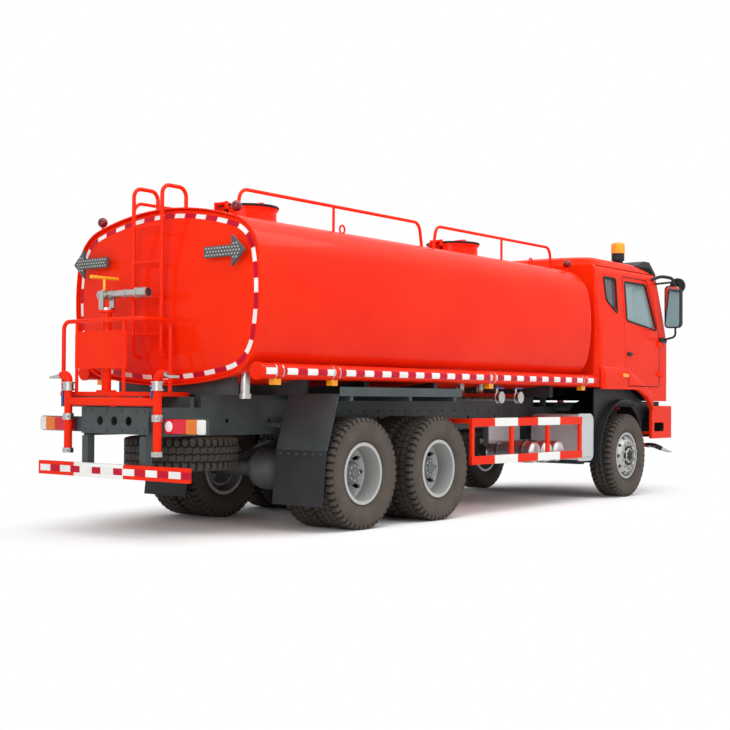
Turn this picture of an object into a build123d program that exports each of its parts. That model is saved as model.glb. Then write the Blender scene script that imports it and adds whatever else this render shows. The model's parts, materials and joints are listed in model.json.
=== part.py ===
from build123d import *
import math
import os

os.makedirs("parts", exist_ok=True)

# Stations along the truck, +X forward, from the middle of its length
REAR_AXLE_X = -2520.0
MID_AXLE_X = -1220.0
FRONT_AXLE_X = 3230.0
FRAME_REAR_X = -4620.0
FRAME_FRONT_X = 4440.0
FRONT_X = 4725.0
REAR_X = -4725.0

# Wheels: 22.5 inch tubeless rims
TYRE_R = 540.0
TYRE_HALF_W = 156.0
TREAD_HALF_W = 128.0
SHOULDER_R = 505.0
SHOULDER_HALF_W = 148.0
BELLY_R = 420.0
LOW_WALL_R = 335.0
LOW_WALL_HALF_W = 142.0
BEAD_R = 284.4
BEAD_HALF_W = 110.5
BEAD_FIT = 0.6
BEAD_HEEL = 4.1
RIM_SEAT_R = 284.0
RIM_FLANGE_R = 300.0
RIM_FLANGE_IN = 115.0
RIM_FLANGE_OUT = 128.0
RIM_SEAT_SLOPE = 4.0
RIM_WELL_R = 268.0
RIM_LIP = 6.0
RIM_DISC_ROOT_W = 84.0
RIM_DISC_BACK_W = 62.0
DISC_FACE_R = 206.0
DISC_BACK_R = 196.0
DISC_BORE_R = 60.0
DISC_THICK = 15.0
FRONT_DISC_W = 137.0
FRONT_WHEEL_Y = 1065.0
TWIN_MID_Y = 915.0
TWIN_OFFSET = 175.0
HAND_HOLES = 10
HAND_HOLE_R = 24.0
HAND_HOLE_RING_R = 234.0
HUB_BORE_R = 56.0
TWIN_HUB_R = 110.0
TWIN_HUB_BACK = 130.0
TWIN_HUB_FACE = 190.0
TWIN_HUB_BORE_END = 110.0
FRONT_HUB_R = 100.0
FRONT_HUB_BACK = 70.0
FRONT_HUB_FACE = 172.0
FRONT_HUB_BORE_END = 145.0
HUB_EDGE = 22.0
DRUM_R = 205.0
DRUM_WALL = 15.0
SPINDLE_R = 50.0
THRUST_COLLAR_R = 84.0
SEAT_GAP = 0.3

# Steering
KINGPIN_Y = 880.0
KINGPIN_R = 25.0
AXLE_EYE_R = 50.0
AXLE_EYE_BORE_R = 31.0
AXLE_EYE_LOW_Z = 470.0
AXLE_EYE_HIGH_Z = 610.0
KNUCKLE_JAW = 40.0
KNUCKLE_HALF_W = 44.0
KNUCKLE_WALL_Y = 937.0
KNUCKLE_WALL = 20.0

# Ladder frame and springs
RAIL_Y = 425.0
RAIL_TOP_Z = 1170.0
RAIL_BOTTOM_Z = 910.0
RAIL_FLANGE = 80.0
RAIL_WEB = 10.0
RAIL_HOLE_R = 22.0
RAIL_HOLE_PITCH = 600
SPRING_IN_Y = RAIL_Y - RAIL_FLANGE

# Water tank
TANK_REAR_X = -4020.0
TANK_FRONT_X = 2180.0
TANK_HALF_W = 1225.0
TANK_TOP_Z = 3015.0
TANK_BOTTOM_Z = 1385.0
TANK_WAIST_Z = 2150.0
TANK_TOP_CORNER_Y = 1130.0
TANK_TOP_BULGE = 215.0
TANK_LOW_CORNER_Y = 1100.0
TANK_LOW_BULGE = 145.0
TANK_TOP_FILLET = 400.0
TANK_LOW_FILLET = 420.0
HEAD_DISH = 95.0
HEAD_BOW_R = 8400.0
HEAD_TOOL_LEN = 6000.0
RIM_BAND_W = 70.0
RIM_BAND_BACK = 25.0
RIM_BAND_PROUD = 14.0
RIM_BAND_FIT = 0.3
COLLAR_R = 300.0
COLLAR_BORE_R = 262.0
COLLAR_TOP_Z = TANK_TOP_Z + 135.0
COLLAR_FLANGE_R = 316.0
COLLAR_FLANGE_THICK = 16.0
COLLAR_ROOT = 60.0
WELL_DEPTH = 260.0
REAR_MANHOLE_X = -2880.0
FRONT_MANHOLE_X = 905.0
LID_R = 322.0
LID_EDGE = 24.0
LID_CROWN = 46.0
LID_HINGE_BACK = 372.0
LID_PIN_Z = COLLAR_TOP_Z + 23.0
LID_PIN_R = 15.0
LID_LUG_Y = 62.0
LID_LUG_THICK = 20.0
LID_LUG_HALF = 22.0

# Cab
CAB_REAR_X = 2430.0
CAB_FRONT_X = 4600.0
CAB_HALF_W = 1200.0
CAB_FLOOR_Z = 1425.0
CAB_SILL_Z = 1250.0
CAB_BELT_Z = 2060.0
CAB_ROOF_Z = 3075.0
CAB_BROW_X = 4290.0
CAB_BROW_Z = CAB_ROOF_Z - 170.0
CAB_BROW_RUN = 150.0
CAB_REAR_ROOF_RUN = 70.0
CAB_REAR_ROOF_DROP = 90.0
CAB_WALL = 55.0
CAB_CORNER_R = 190.0
CAB_REAR_CORNER_R = 90.0
CAB_EAVE_Z = CAB_ROOF_Z - 85.0
CAB_EAVE_HALF_W = CAB_HALF_W - 65.0
CAB_EAVE_R = 120.0
PANE_IN = 22.0
PANE_THICK = 8.0
PANE_FIT = 0.3
ROOF_SEAM_Z = CAB_ROOF_Z - 175.0
ARCH_FRONT_X = 3925.0
ARCH_RUN = 60.0
TILT_X = 4500.0
TILT_Z = 1170.0
TILT_TUBE_R = 28.0
TILT_TUBE_HALF_LEN = 480.0
TILT_COLLAR_R = 44.0
TILT_COLLAR_W = 30.0
TILT_LUG_Y = 435.0
TILT_LUG_THICK = 30.0
TILT_BORE_R = 33.5
DOOR_REAR_X = 3180.0
DOOR_FRONT_X = 4215.0
DOOR_BOTTOM_Z = 1450.0
DOOR_TOP_Z = CAB_ROOF_Z - 195.0
DOOR_PILLAR_X = 3925.0
DOOR_PILLAR_Z = 2150.0
DOOR_GAP = 8.0
DOOR_CORNER_R = 36.0
WINDOW_CORNER_R = 45.0
HINGE_X = 4226.0
HINGE_Y = CAB_HALF_W + 18.0
HINGE_R = 11.0
HINGE_LEN = 90.0
HINGE_LEAF_END = 10.0
HINGE_Z = (1580.0, 1980.0)

# Spare wheel lying flat under the tail
SPARE_X = -3780.0
SPARE_Z = 742.0

# Rear platform and water fittings
DECK_Z = 1310.0
DECK_THICK = 40.0
DECK_LEFT_Y = 790.0
DECK_RIGHT_Y = -280.0
DECK_REAR_X = -4600.0
DECK_FRONT_X = -3960.0
PLATFORM_RAIL_Z = 1965.0
MONITOR_X = -4400.0
MONITOR_Y = 370.0
MONITOR_BASE_Z = 2070.0
MONITOR_AXIS_Z = 2215.0
PIPE_R = 38.0
RISER_R = 45.0
VALVE_R = 60.0
COUPLING_R = 52.0
SPRAY_X = REAR_X + VALVE_R
SPRAY_Y = 595.0
TUBE_Y = TANK_LOW_CORNER_Y + 50.0
TUBE_Z = TANK_BOTTOM_Z + 118.0
TUBE_R = 72.0


def block(x0, x1, y0, y1, z0, z1, mode=Mode.ADD):
    """A box between two corners."""
    with Locations(((x0 + x1) / 2, (y0 + y1) / 2, (z0 + z1) / 2)):
        Box(abs(x1 - x0), abs(y1 - y0), abs(z1 - z0), mode=mode)


def rod(p, q, radius, mode=Mode.ADD):
    """A round bar from point p to point q."""
    a = Vector(*p)
    b = Vector(*q)
    with Locations(Plane(origin=(a + b) / 2, z_dir=b - a)):
        Cylinder(radius, (b - a).length, mode=mode)


def bent(points, radius, bend):
    """A round tube bent through the points."""
    with BuildLine(mode=Mode.PRIVATE) as path:
        FilletPolyline(*points, radius=bend)
    start = Plane(origin=points[0], z_dir=Vector(*points[1]) - Vector(*points[0]))
    with BuildSketch(start, mode=Mode.PRIVATE) as ring:
        Circle(radius)
    sweep(sections=ring.sketch, path=path.line)


def outline(points, y0, y1, grow=0.0, corner=0.0, mode=Mode.ADD):
    """A plate of an X, Z outline grown by a gap, with rounded corners, between two Y positions."""
    low = min(y0, y1)
    with BuildSketch(Plane.XZ.offset(-low), mode=Mode.PRIVATE) as face:
        with BuildLine():
            Polyline(*points, close=True)
        make_face()
        if grow:
            offset(amount=grow, kind=Kind.INTERSECTION)
        if corner:
            fillet(face.vertices(), corner + grow)
    extrude(face.sketch, amount=-abs(y1 - y0), mode=mode)


def cross_plate(points, x0, x1, mode=Mode.ADD):
    """A plate of an outline in Y and Z, between two X positions."""
    low = min(x0, x1)
    with BuildSketch(Plane.YZ.offset(low), mode=Mode.PRIVATE) as face:
        with BuildLine():
            Polyline(*points, close=True)
        make_face()
    extrude(face.sketch, amount=abs(x1 - x0), mode=mode)


def pad_x(x0, x1, y, z, width, height, corner, mode=Mode.ADD):
    """A rounded rectangle in Y and Z about y, z, thick from x0 to x1."""
    with BuildSketch(Plane.YZ.offset(min(x0, x1)), mode=Mode.PRIVATE) as face:
        with Locations((y, z)):
            RectangleRounded(width, height, corner)
    extrude(face.sketch, amount=abs(x1 - x0), mode=mode)


def pad_y(y0, y1, x, z, width, height, corner, mode=Mode.ADD):
    """A rounded rectangle in X and Z about x, z, thick from y0 to y1."""
    with BuildSketch(Plane.XZ.offset(-min(y0, y1)), mode=Mode.PRIVATE) as face:
        with Locations((x, z)):
            RectangleRounded(width, height, corner)
    extrude(face.sketch, amount=-abs(y1 - y0), mode=mode)


def turned(profile, x, z, crown=0.0, mode=Mode.ADD):
    """A ring turned about the Y line through x, z from (radius, y) points, its rim rounded by crown."""
    plane = Plane(origin=(x, 0, z), x_dir=(1, 0, 0), z_dir=(0, 0, 1))
    with BuildSketch(plane, mode=Mode.PRIVATE) as face:
        with BuildLine():
            Polyline(*profile, close=True)
        make_face()
        if crown:
            fillet(face.vertices().group_by(Axis.X)[-1], crown)
    revolve(face.sketch, axis=Axis((x, 0, z), (0, 1, 0)), mode=mode)


def flat_turned(profile, x, z, mode=Mode.ADD):
    """A ring turned about the upright line through x from (radius, height) points."""
    plane = Plane(origin=(x, 0, z), x_dir=(1, 0, 0), z_dir=(0, -1, 0))
    with BuildSketch(plane, mode=Mode.PRIVATE) as face:
        with BuildLine():
            Polyline(*profile, close=True)
        make_face()
    revolve(face.sketch, axis=Axis((x, 0, z), (0, 0, 1)), mode=mode)


def tyre_profile(y):
    """Section of a tyre centred at y, as (radius, y)."""
    half = [
        (BEAD_R, BEAD_HALF_W),
        (RIM_FLANGE_R + BEAD_FIT, BEAD_HALF_W + BEAD_HEEL),
        (LOW_WALL_R, LOW_WALL_HALF_W),
        (BELLY_R, TYRE_HALF_W),
        (SHOULDER_R, SHOULDER_HALF_W),
        (TYRE_R, TREAD_HALF_W),
    ]
    outer = [(r, y + w) for r, w in half]
    inner = [(r, y - w) for r, w in reversed(half)]
    return outer + inner


def rim_profile(y, out, foot):
    """Rim with a dished disc; out is the side the disc leans to, foot its reach."""
    pts = [
        (RIM_FLANGE_R, -RIM_FLANGE_OUT),
        (RIM_FLANGE_R, -RIM_FLANGE_IN),
        (RIM_SEAT_R, RIM_SEAT_SLOPE - RIM_FLANGE_IN),
        (RIM_SEAT_R, RIM_FLANGE_IN - RIM_SEAT_SLOPE),
        (RIM_FLANGE_R, RIM_FLANGE_IN),
        (RIM_FLANGE_R, RIM_FLANGE_OUT),
        (RIM_WELL_R + RIM_LIP, RIM_FLANGE_OUT),
        (RIM_WELL_R, RIM_DISC_ROOT_W),
        (DISC_FACE_R, foot + DISC_THICK),
        (DISC_BORE_R, foot + DISC_THICK),
        (DISC_BORE_R, foot),
        (DISC_BACK_R, foot),
        (RIM_WELL_R - RIM_SEAT_SLOPE, RIM_DISC_BACK_W),
        (RIM_WELL_R, -RIM_FLANGE_OUT),
    ]
    return [(r, y + out * w) for r, w in pts]


# Ladder frame: two channel rails, cross members, tilt tube, cab rear rest, tail posts and lamp carriers
CROSS_MEMBERS = [
    # x, half length along x, low z, high z
    (-3350.0, 60.0, 960.0, 1120.0),
    (-1870.0, 90.0, 960.0, 1120.0),
    (-600.0, 60.0, 960.0, 1120.0),
    (900.0, 60.0, 960.0, 1120.0),
    (2150.0, 50.0, 1066.0, 1150.0),
    (4400.0, 40.0, 930.0, 1050.0),
    (SPARE_X, 40.0, 930.0, 1000.0),
]
RAIL_HOLES_X = range(-4200, 2400, RAIL_HOLE_PITCH)
RAIL_HOLE_Z = 1045.0
TILT_BRACKET = [(4360, 1010), (4560, 1010), (4560, 1170), (4500, 1230), (4440, 1170), (4360, 1170)]
TILT_BRACKET_Y = (395.0, 415.0)
TAIL_PLATE_THICK = 12.0
TAIL_PLATE_OVERHANG = 20.0
TAIL_HOLES_Y = (-190.0, 0.0, 190.0)
TAIL_HOLE_R = 42.0
TAIL_HOLE_Z = 1048.0
SPARE_POST_R = 30.0
SPARE_POST_FOOT = 20.0
REST_X = (2440.0, 2500.0)
REST_POST_Y = (355.0, 415.0)
REST_BEAM_Z = 1340.0
REST_BEAM_HALF_W = 520.0
CAB_REST_GAP = 7.0
POST_X = (-4640.0, -4560.0)
BAR_LOW_Z = 534.0
BAR_HEIGHT = 128.0
CARRIER_THICK = 15.0
CARRIER_END_Y = 1100.0
CARRIER_Z = (940.0, 1080.0)
with BuildPart() as frame:
    for s in (-1, 1):
        block(FRAME_REAR_X, FRAME_FRONT_X, s * (RAIL_Y - RAIL_WEB), s * RAIL_Y, RAIL_BOTTOM_Z, RAIL_TOP_Z)
        for z in (RAIL_BOTTOM_Z, RAIL_TOP_Z - RAIL_WEB):
            block(FRAME_REAR_X, FRAME_FRONT_X, s * (RAIL_Y - RAIL_FLANGE), s * RAIL_Y, z, z + RAIL_WEB)
        for x in RAIL_HOLES_X:
            rod((x, s * (RAIL_Y - 2 * RAIL_WEB), RAIL_HOLE_Z), (x, s * (RAIL_Y + RAIL_WEB), RAIL_HOLE_Z), RAIL_HOLE_R,
                mode=Mode.SUBTRACT)
        outline(TILT_BRACKET, s * TILT_BRACKET_Y[0], s * TILT_BRACKET_Y[1])
        block(*POST_X, s * SPRING_IN_Y, s * RAIL_Y, BAR_LOW_Z, RAIL_BOTTOM_Z)
        block(POST_X[1], POST_X[1] + CARRIER_THICK, s * RAIL_Y, s * CARRIER_END_Y, *CARRIER_Z)
        block(*REST_X, s * REST_POST_Y[0], s * REST_POST_Y[1], RAIL_TOP_Z, REST_BEAM_Z)
        rod((TILT_X, s * (TILT_LUG_Y - TILT_COLLAR_W), TILT_Z), (TILT_X, s * (TILT_LUG_Y - SEAT_GAP), TILT_Z), TILT_COLLAR_R)
    for x, half, z0, z1 in CROSS_MEMBERS:
        block(x - half, x + half, RAIL_WEB - RAIL_Y, RAIL_Y - RAIL_WEB, z0, z1)
    block(FRAME_REAR_X - TAIL_PLATE_THICK, FRAME_REAR_X, -RAIL_Y - TAIL_PLATE_OVERHANG, RAIL_Y + TAIL_PLATE_OVERHANG,
          RAIL_BOTTOM_Z + TAIL_PLATE_OVERHANG, RAIL_TOP_Z)
    for y in TAIL_HOLES_Y:
        rod((FRAME_REAR_X - 2 * TAIL_PLATE_THICK, y, TAIL_HOLE_Z), (FRAME_REAR_X + TAIL_PLATE_THICK, y, TAIL_HOLE_Z),
            TAIL_HOLE_R, mode=Mode.SUBTRACT)
    rod((TILT_X, -TILT_TUBE_HALF_LEN, TILT_Z), (TILT_X, TILT_TUBE_HALF_LEN, TILT_Z), TILT_TUBE_R)
    rod((SPARE_X, 0, SPARE_Z + SPARE_POST_FOOT), (SPARE_X, 0, RAIL_BOTTOM_Z + SPARE_POST_R), SPARE_POST_R)
    block(*REST_X, -REST_BEAM_HALF_W, REST_BEAM_HALF_W, REST_BEAM_Z, CAB_FLOOR_Z - CAB_REST_GAP)
frame.part.label = "frame"
export_step(frame.part, "parts/frame.step")

# Front axle: drop-centre beam with eyes for the kingpins, and its leaf springs
BEAM_HALF_W = 55.0
BEAM_MID_HALF_LEN = 560.0
BEAM_Z = (400.0, 510.0)
BEAM_END = [(500, 400), (855, 490), (855, 590), (500, 510)]
BEAM_END_HALF_W = 50.0
FRONT_SPRING = [(2430, 700), (2830, 600), (3230, 505), (3630, 600), (4030, 700),
                (4030, 740), (3630, 655), (3230, 600), (2830, 655), (2430, 740)]
SHACKLE_X = (2450.0, 4010.0)
SHACKLE_HALF_W = 50.0
SHACKLE_Y = (350.0, 420.0)
SHACKLE_LOW_Z = 690.0
with BuildPart() as front_axle:
    block(FRONT_AXLE_X - BEAM_HALF_W, FRONT_AXLE_X + BEAM_HALF_W, -BEAM_MID_HALF_LEN, BEAM_MID_HALF_LEN, *BEAM_Z)
    for s in (-1, 1):
        y = s * KINGPIN_Y
        cross_plate([(s * a, b) for a, b in BEAM_END], FRONT_AXLE_X - BEAM_END_HALF_W, FRONT_AXLE_X + BEAM_END_HALF_W)
        rod((FRONT_AXLE_X, y, AXLE_EYE_LOW_Z + SEAT_GAP), (FRONT_AXLE_X, y, AXLE_EYE_HIGH_Z - SEAT_GAP), AXLE_EYE_R)
        rod((FRONT_AXLE_X, y, AXLE_EYE_LOW_Z), (FRONT_AXLE_X, y, AXLE_EYE_HIGH_Z), AXLE_EYE_BORE_R, mode=Mode.SUBTRACT)
        outline(FRONT_SPRING, s * SPRING_IN_Y, s * RAIL_Y)
        for x in SHACKLE_X:
            block(x - SHACKLE_HALF_W, x + SHACKLE_HALF_W, s * SHACKLE_Y[0], s * SHACKLE_Y[1], SHACKLE_LOW_Z, RAIL_BOTTOM_Z)
front_axle.part.label = "front_axle"
export_step(front_axle.part, "parts/front_axle.step")

# Two driven axles on one bogie spring that rocks on a trunnion
AXLE_TUBE_R = 85.0
AXLE_TUBE_HALF_LEN = 575.0
DIFFERENTIAL_R = 215.0
SPINDLE_END_Y = 1010.0
THRUST_COLLAR_Y = 600.0
BOGIE_X = (REAR_AXLE_X + MID_AXLE_X) / 2
BOGIE_SPRING_OVER = 90.0
TRUNNION_Z = 720.0
TRUNNION_R = 60.0
TRUNNION_HALF_LEN = 420.0
BOGIE_HANGER = [(-190, RAIL_BOTTOM_Z), (-110, 690), (110, 690), (190, RAIL_BOTTOM_Z)]
with BuildPart() as rear_axles:
    for x in (REAR_AXLE_X, MID_AXLE_X):
        rod((x, -AXLE_TUBE_HALF_LEN, TYRE_R), (x, AXLE_TUBE_HALF_LEN, TYRE_R), AXLE_TUBE_R)
        with Locations((x, 0, TYRE_R)):
            Sphere(DIFFERENTIAL_R)
        for s in (-1, 1):
            hub_back = TWIN_MID_Y - TWIN_HUB_BACK - SEAT_GAP
            rod((x, s * (AXLE_TUBE_HALF_LEN - DISC_THICK), TYRE_R), (x, s * SPINDLE_END_Y, TYRE_R), SPINDLE_R)
            rod((x, s * THRUST_COLLAR_Y, TYRE_R), (x, s * hub_back, TYRE_R), THRUST_COLLAR_R)
    for s in (-1, 1):
        rear_end = REAR_AXLE_X - BOGIE_SPRING_OVER
        front_end = MID_AXLE_X + BOGIE_SPRING_OVER
        outline([(rear_end, 620), (BOGIE_X, 700), (front_end, 620), (front_end, 670), (BOGIE_X, 850), (rear_end, 670)],
                s * SPRING_IN_Y, s * RAIL_Y)
        outline([(BOGIE_X + a, b) for a, b in BOGIE_HANGER], s * SHACKLE_Y[0], s * SHACKLE_Y[1])
    rod((BOGIE_X, -TRUNNION_HALF_LEN, TRUNNION_Z), (BOGIE_X, TRUNNION_HALF_LEN, TRUNNION_Z), TRUNNION_R)
rear_axles.part.label = "rear_axles"
export_step(rear_axles.part, "parts/rear_axles.step")

# Engine with radiator, clutch housing, gearbox and shafts
ENGINE_X = (2900.0, 4040.0)
ENGINE_HALF_W = 330.0
ENGINE_Z = (700.0, 1225.0)
CLUTCH_X = 2600.0
CLUTCH_HALF_W = 260.0
CLUTCH_Z = (640.0, 1180.0)
GEARBOX = [(1750, 760), (2600, 680), (2600, 1120), (1750, 1000)]
GEARBOX_HALF_W = 190.0
ENGINE_FOOT_X = (2850.0, 3050.0)
ENGINE_FOOT_Z = (1000.0, 1080.0)
RADIATOR_X = 4210.0
RADIATOR_HALF_W = 340.0
RADIATOR_Z = (760.0, 1180.0)
SHAFT_R = 55.0
SHAFT_BACK = 190.0
with BuildPart() as driveline:
    block(*ENGINE_X, -ENGINE_HALF_W, ENGINE_HALF_W, *ENGINE_Z)
    block(CLUTCH_X, ENGINE_X[0], -CLUTCH_HALF_W, CLUTCH_HALF_W, *CLUTCH_Z)
    outline(GEARBOX, -GEARBOX_HALF_W, GEARBOX_HALF_W)
    block(*ENGINE_FOOT_X, RAIL_WEB - RAIL_Y, RAIL_Y - RAIL_WEB, *ENGINE_FOOT_Z)
    rod((1750, 0, 880), (MID_AXLE_X + SHAFT_BACK, 0, 610), SHAFT_R)
    rod((MID_AXLE_X - SHAFT_BACK, 0, 600), (REAR_AXLE_X + SHAFT_BACK, 0, 600), SHAFT_R)
    block(ENGINE_X[1], RADIATOR_X, -RADIATOR_HALF_W, RADIATOR_HALF_W, *RADIATOR_Z)
    add(rear_axles.part, mode=Mode.SUBTRACT)
driveline.part.label = "driveline"
export_step(driveline.part, "parts/driveline.step")


def tank_outline(grow=0.0, mode=Mode.ADD):
    """Section of the barrel, `grow` outside its skin."""
    top_y = TANK_TOP_CORNER_Y + grow
    top_z = TANK_TOP_Z - TANK_TOP_BULGE + grow
    low_y = TANK_LOW_CORNER_Y + grow
    low_z = TANK_BOTTOM_Z + TANK_LOW_BULGE - grow
    with BuildSketch(mode=Mode.PRIVATE) as section:
        with BuildLine():
            ThreePointArc((-top_y, top_z), (0, TANK_TOP_Z + grow), (top_y, top_z))
            ThreePointArc((top_y, top_z), (TANK_HALF_W + grow, TANK_WAIST_Z), (low_y, low_z))
            ThreePointArc((low_y, low_z), (0, TANK_BOTTOM_Z - grow), (-low_y, low_z))
            ThreePointArc((-low_y, low_z), (-TANK_HALF_W - grow, TANK_WAIST_Z), (-top_y, top_z))
        make_face()
        fillet(section.vertices().group_by(Axis.Y)[-1], TANK_TOP_FILLET + grow)
        fillet(section.vertices().group_by(Axis.Y)[0], TANK_LOW_FILLET + grow)
    add(section.sketch, mode=mode)


# Tank shell: four bulged sides with rounded corners, dished heads, two flanged manhole wells
HEAD_MID_Z = (TANK_TOP_Z + TANK_BOTTOM_Z) / 2
LID_LUG_ROOT_Z = TANK_TOP_Z - 40.0
LID_LUG_TOP_Z = COLLAR_TOP_Z + 40.0
with BuildPart() as tank:
    with BuildSketch(Plane.YZ.offset(TANK_REAR_X - HEAD_DISH)):
        tank_outline()
    extrude(amount=TANK_FRONT_X - TANK_REAR_X + 2 * HEAD_DISH)
    for x in (TANK_REAR_X - HEAD_DISH + HEAD_BOW_R, TANK_FRONT_X + HEAD_DISH - HEAD_BOW_R):
        with Locations((x, 0, HEAD_MID_Z)):
            Cylinder(HEAD_BOW_R, HEAD_TOOL_LEN, rotation=(0, 0, 90), mode=Mode.INTERSECT)
        with Locations(Location((x, 0, HEAD_MID_Z), (90, 0, 0))):
            Cylinder(HEAD_BOW_R, HEAD_TOOL_LEN, rotation=(0, 0, 90), mode=Mode.INTERSECT)
    for x in (REAR_MANHOLE_X, FRONT_MANHOLE_X):
        hinge_x = x - LID_HINGE_BACK
        rod((x, 0, TANK_TOP_Z - COLLAR_ROOT), (x, 0, COLLAR_TOP_Z), COLLAR_R)
        rod((x, 0, COLLAR_TOP_Z - COLLAR_FLANGE_THICK), (x, 0, COLLAR_TOP_Z), COLLAR_FLANGE_R)
        rod((x, 0, TANK_TOP_Z - WELL_DEPTH), (x, 0, COLLAR_TOP_Z + SEAT_GAP), COLLAR_BORE_R, mode=Mode.SUBTRACT)
        for s in (-1, 1):
            near = s * LID_LUG_Y
            far = s * (LID_LUG_Y + LID_LUG_THICK)
            block(hinge_x - LID_LUG_HALF, hinge_x + LID_LUG_HALF, near, far, LID_LUG_ROOT_Z, LID_LUG_TOP_Z)
            block(hinge_x - LID_LUG_HALF, x - COLLAR_R + LID_LUG_THICK, near, far, LID_LUG_ROOT_Z,
                  COLLAR_TOP_Z - 2 * COLLAR_FLANGE_THICK)
tank.part.label = "tank"
export_step(tank.part, "parts/tank.step")

# Raised rim round the rear head
with BuildPart() as tank_rim:
    with BuildSketch(Plane.YZ.offset(TANK_REAR_X - RIM_BAND_BACK)):
        tank_outline(RIM_BAND_PROUD)
        tank_outline(RIM_BAND_FIT, mode=Mode.SUBTRACT)
    extrude(amount=RIM_BAND_W)
tank_rim.part.label = "tank_rim"
export_step(tank_rim.part, "parts/tank_rim.step")

# Guard rails and lifting rings on the tank top
TOP_RAILS = [
    # rear foot x, front foot x, middle post x, ring x
    (-3800.0, -798.0, -2362.0, -2220.0),
    (-584.0, 2100.0, 877.0, 1575.0),
]
TOP_RAIL_Y = 705.0
TOP_RAIL_Z = TANK_TOP_Z + 170.0
TOP_RAIL_FOOT_Z = TANK_TOP_Z - 125.0
TOP_RAIL_LEAN = 60.0
TOP_RAIL_R = 17.0
TOP_RAIL_BEND = 110.0
TOP_POST_R = 14.0
LIFT_RING_Z = TANK_TOP_Z - 47.0
LIFT_RING_R = 40.0
LIFT_RING_WIRE_R = 10.0
with BuildPart() as top_rails:
    for s in (-1, 1):
        for x0, x1, xm, ring_x in TOP_RAILS:
            y = s * TOP_RAIL_Y
            bent([(x0, y, TOP_RAIL_FOOT_Z), (x0 + TOP_RAIL_LEAN, y, TOP_RAIL_Z), (x1 - TOP_RAIL_LEAN, y, TOP_RAIL_Z),
                  (x1, y, TOP_RAIL_FOOT_Z)], TOP_RAIL_R, TOP_RAIL_BEND)
            rod((xm, y, TOP_RAIL_FOOT_Z), (xm, y, TOP_RAIL_Z), TOP_POST_R)
            with Locations(Plane(origin=(ring_x, y, LIFT_RING_Z), z_dir=(0, 1, 0))):
                Torus(LIFT_RING_R, LIFT_RING_WIRE_R)
    add(tank.part, mode=Mode.SUBTRACT)
top_rails.part.label = "top_rails"
export_step(top_rails.part, "parts/top_rails.step")

# Ladder up the rear head, hooked over the top
LADDER_X = -4200.0
LADDER_LEFT_Y = 230.0
LADDER_RIGHT_Y = -150.0
LADDER_TOP_Z = TANK_TOP_Z + 210.0
LADDER_FOOT_Z = 1640.0
LADDER_HOOK_X = -3890.0
LADDER_HOOK_Z = TANK_TOP_Z - 115.0
LADDER_R = 19.0
LADDER_BEND = 90.0
RUNG_R = 14.0
RUNG_TOP_Z = TANK_TOP_Z - 165.0
RUNG_PITCH = 335.0
RUNGS = 4
with BuildPart() as rear_ladder:
    for y in (LADDER_LEFT_Y, LADDER_RIGHT_Y):
        bent([(TANK_REAR_X + RUNG_R, y, LADDER_FOOT_Z), (LADDER_X, y, LADDER_FOOT_Z), (LADDER_X, y, LADDER_TOP_Z),
              (LADDER_HOOK_X, y, LADDER_TOP_Z), (LADDER_HOOK_X, y, LADDER_HOOK_Z)], LADDER_R, LADDER_BEND)
    for k in range(RUNGS):
        z = RUNG_TOP_Z - k * RUNG_PITCH
        rod((LADDER_X, LADDER_RIGHT_Y, z), (LADDER_X, LADDER_LEFT_Y, z), RUNG_R)
    add(tank.part, mode=Mode.SUBTRACT)
rear_ladder.part.label = "rear_ladder"
export_step(rear_ladder.part, "parts/rear_ladder.step")

# Bearers and saddles between frame and tank
SADDLE_X = [-3850.0, -2850.0, -1870.0, -600.0, 700.0, 2000.0]
SADDLE_HALF_W = 40.0
SADDLE_HALF_LEN = 760.0
SADDLE_TOP_Z = TANK_BOTTOM_Z + 85.0
BEARER_X = (-3950.0, 2150.0)
BEARER_TOP_Z = 1290.0
with BuildPart() as tank_subframe:
    for s in (-1, 1):
        block(*BEARER_X, s * SPRING_IN_Y, s * RAIL_Y, RAIL_TOP_Z, BEARER_TOP_Z)
    for x in SADDLE_X:
        block(x - SADDLE_HALF_W, x + SADDLE_HALF_W, -SADDLE_HALF_LEN, SADDLE_HALF_LEN, BEARER_TOP_Z, SADDLE_TOP_Z)
    add(tank.part, mode=Mode.SUBTRACT)
tank_subframe.part.label = "tank_subframe"
export_step(tank_subframe.part, "parts/tank_subframe.step")

# Red water pipes: rear manifold, spray uprights, monitor riser, pump, front spray bar
SPRAY_FOOT_Z = 790.0
SPRAY_JOINT_Z = (1050.0, 1110.0)
SPRAY_VALVE_Z = (1320.0, 1400.0)
SPRAY_BEND_Z = 1475.0
SPRAY_BEND = 55.0
NOZZLE_Y = 690.0
NOZZLE_Z = 1460.0
MANIFOLD_Z = 1220.0
PUMP_X = (-700.0, -300.0)
PUMP_HALF_W = 240.0
PUMP_Z = (1171.0, 1285.0)
RISER_FLANGE_R = 80.0
RISER_FLANGE_THICK = 20.0
RISER_FOOT_R = 95.0
RISER_FOOT_THICK = 16.0
FRONT_BAR_X = 4400.0
FRONT_BAR_Z = 640.0
FRONT_BAR_HALF_LEN = 950.0
FRONT_BAR_R = 30.0
FRONT_DROP_Y = 300.0
FRONT_DROP_R = 24.0
FRONT_DROP_TOP_Z = 930.0
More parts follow.
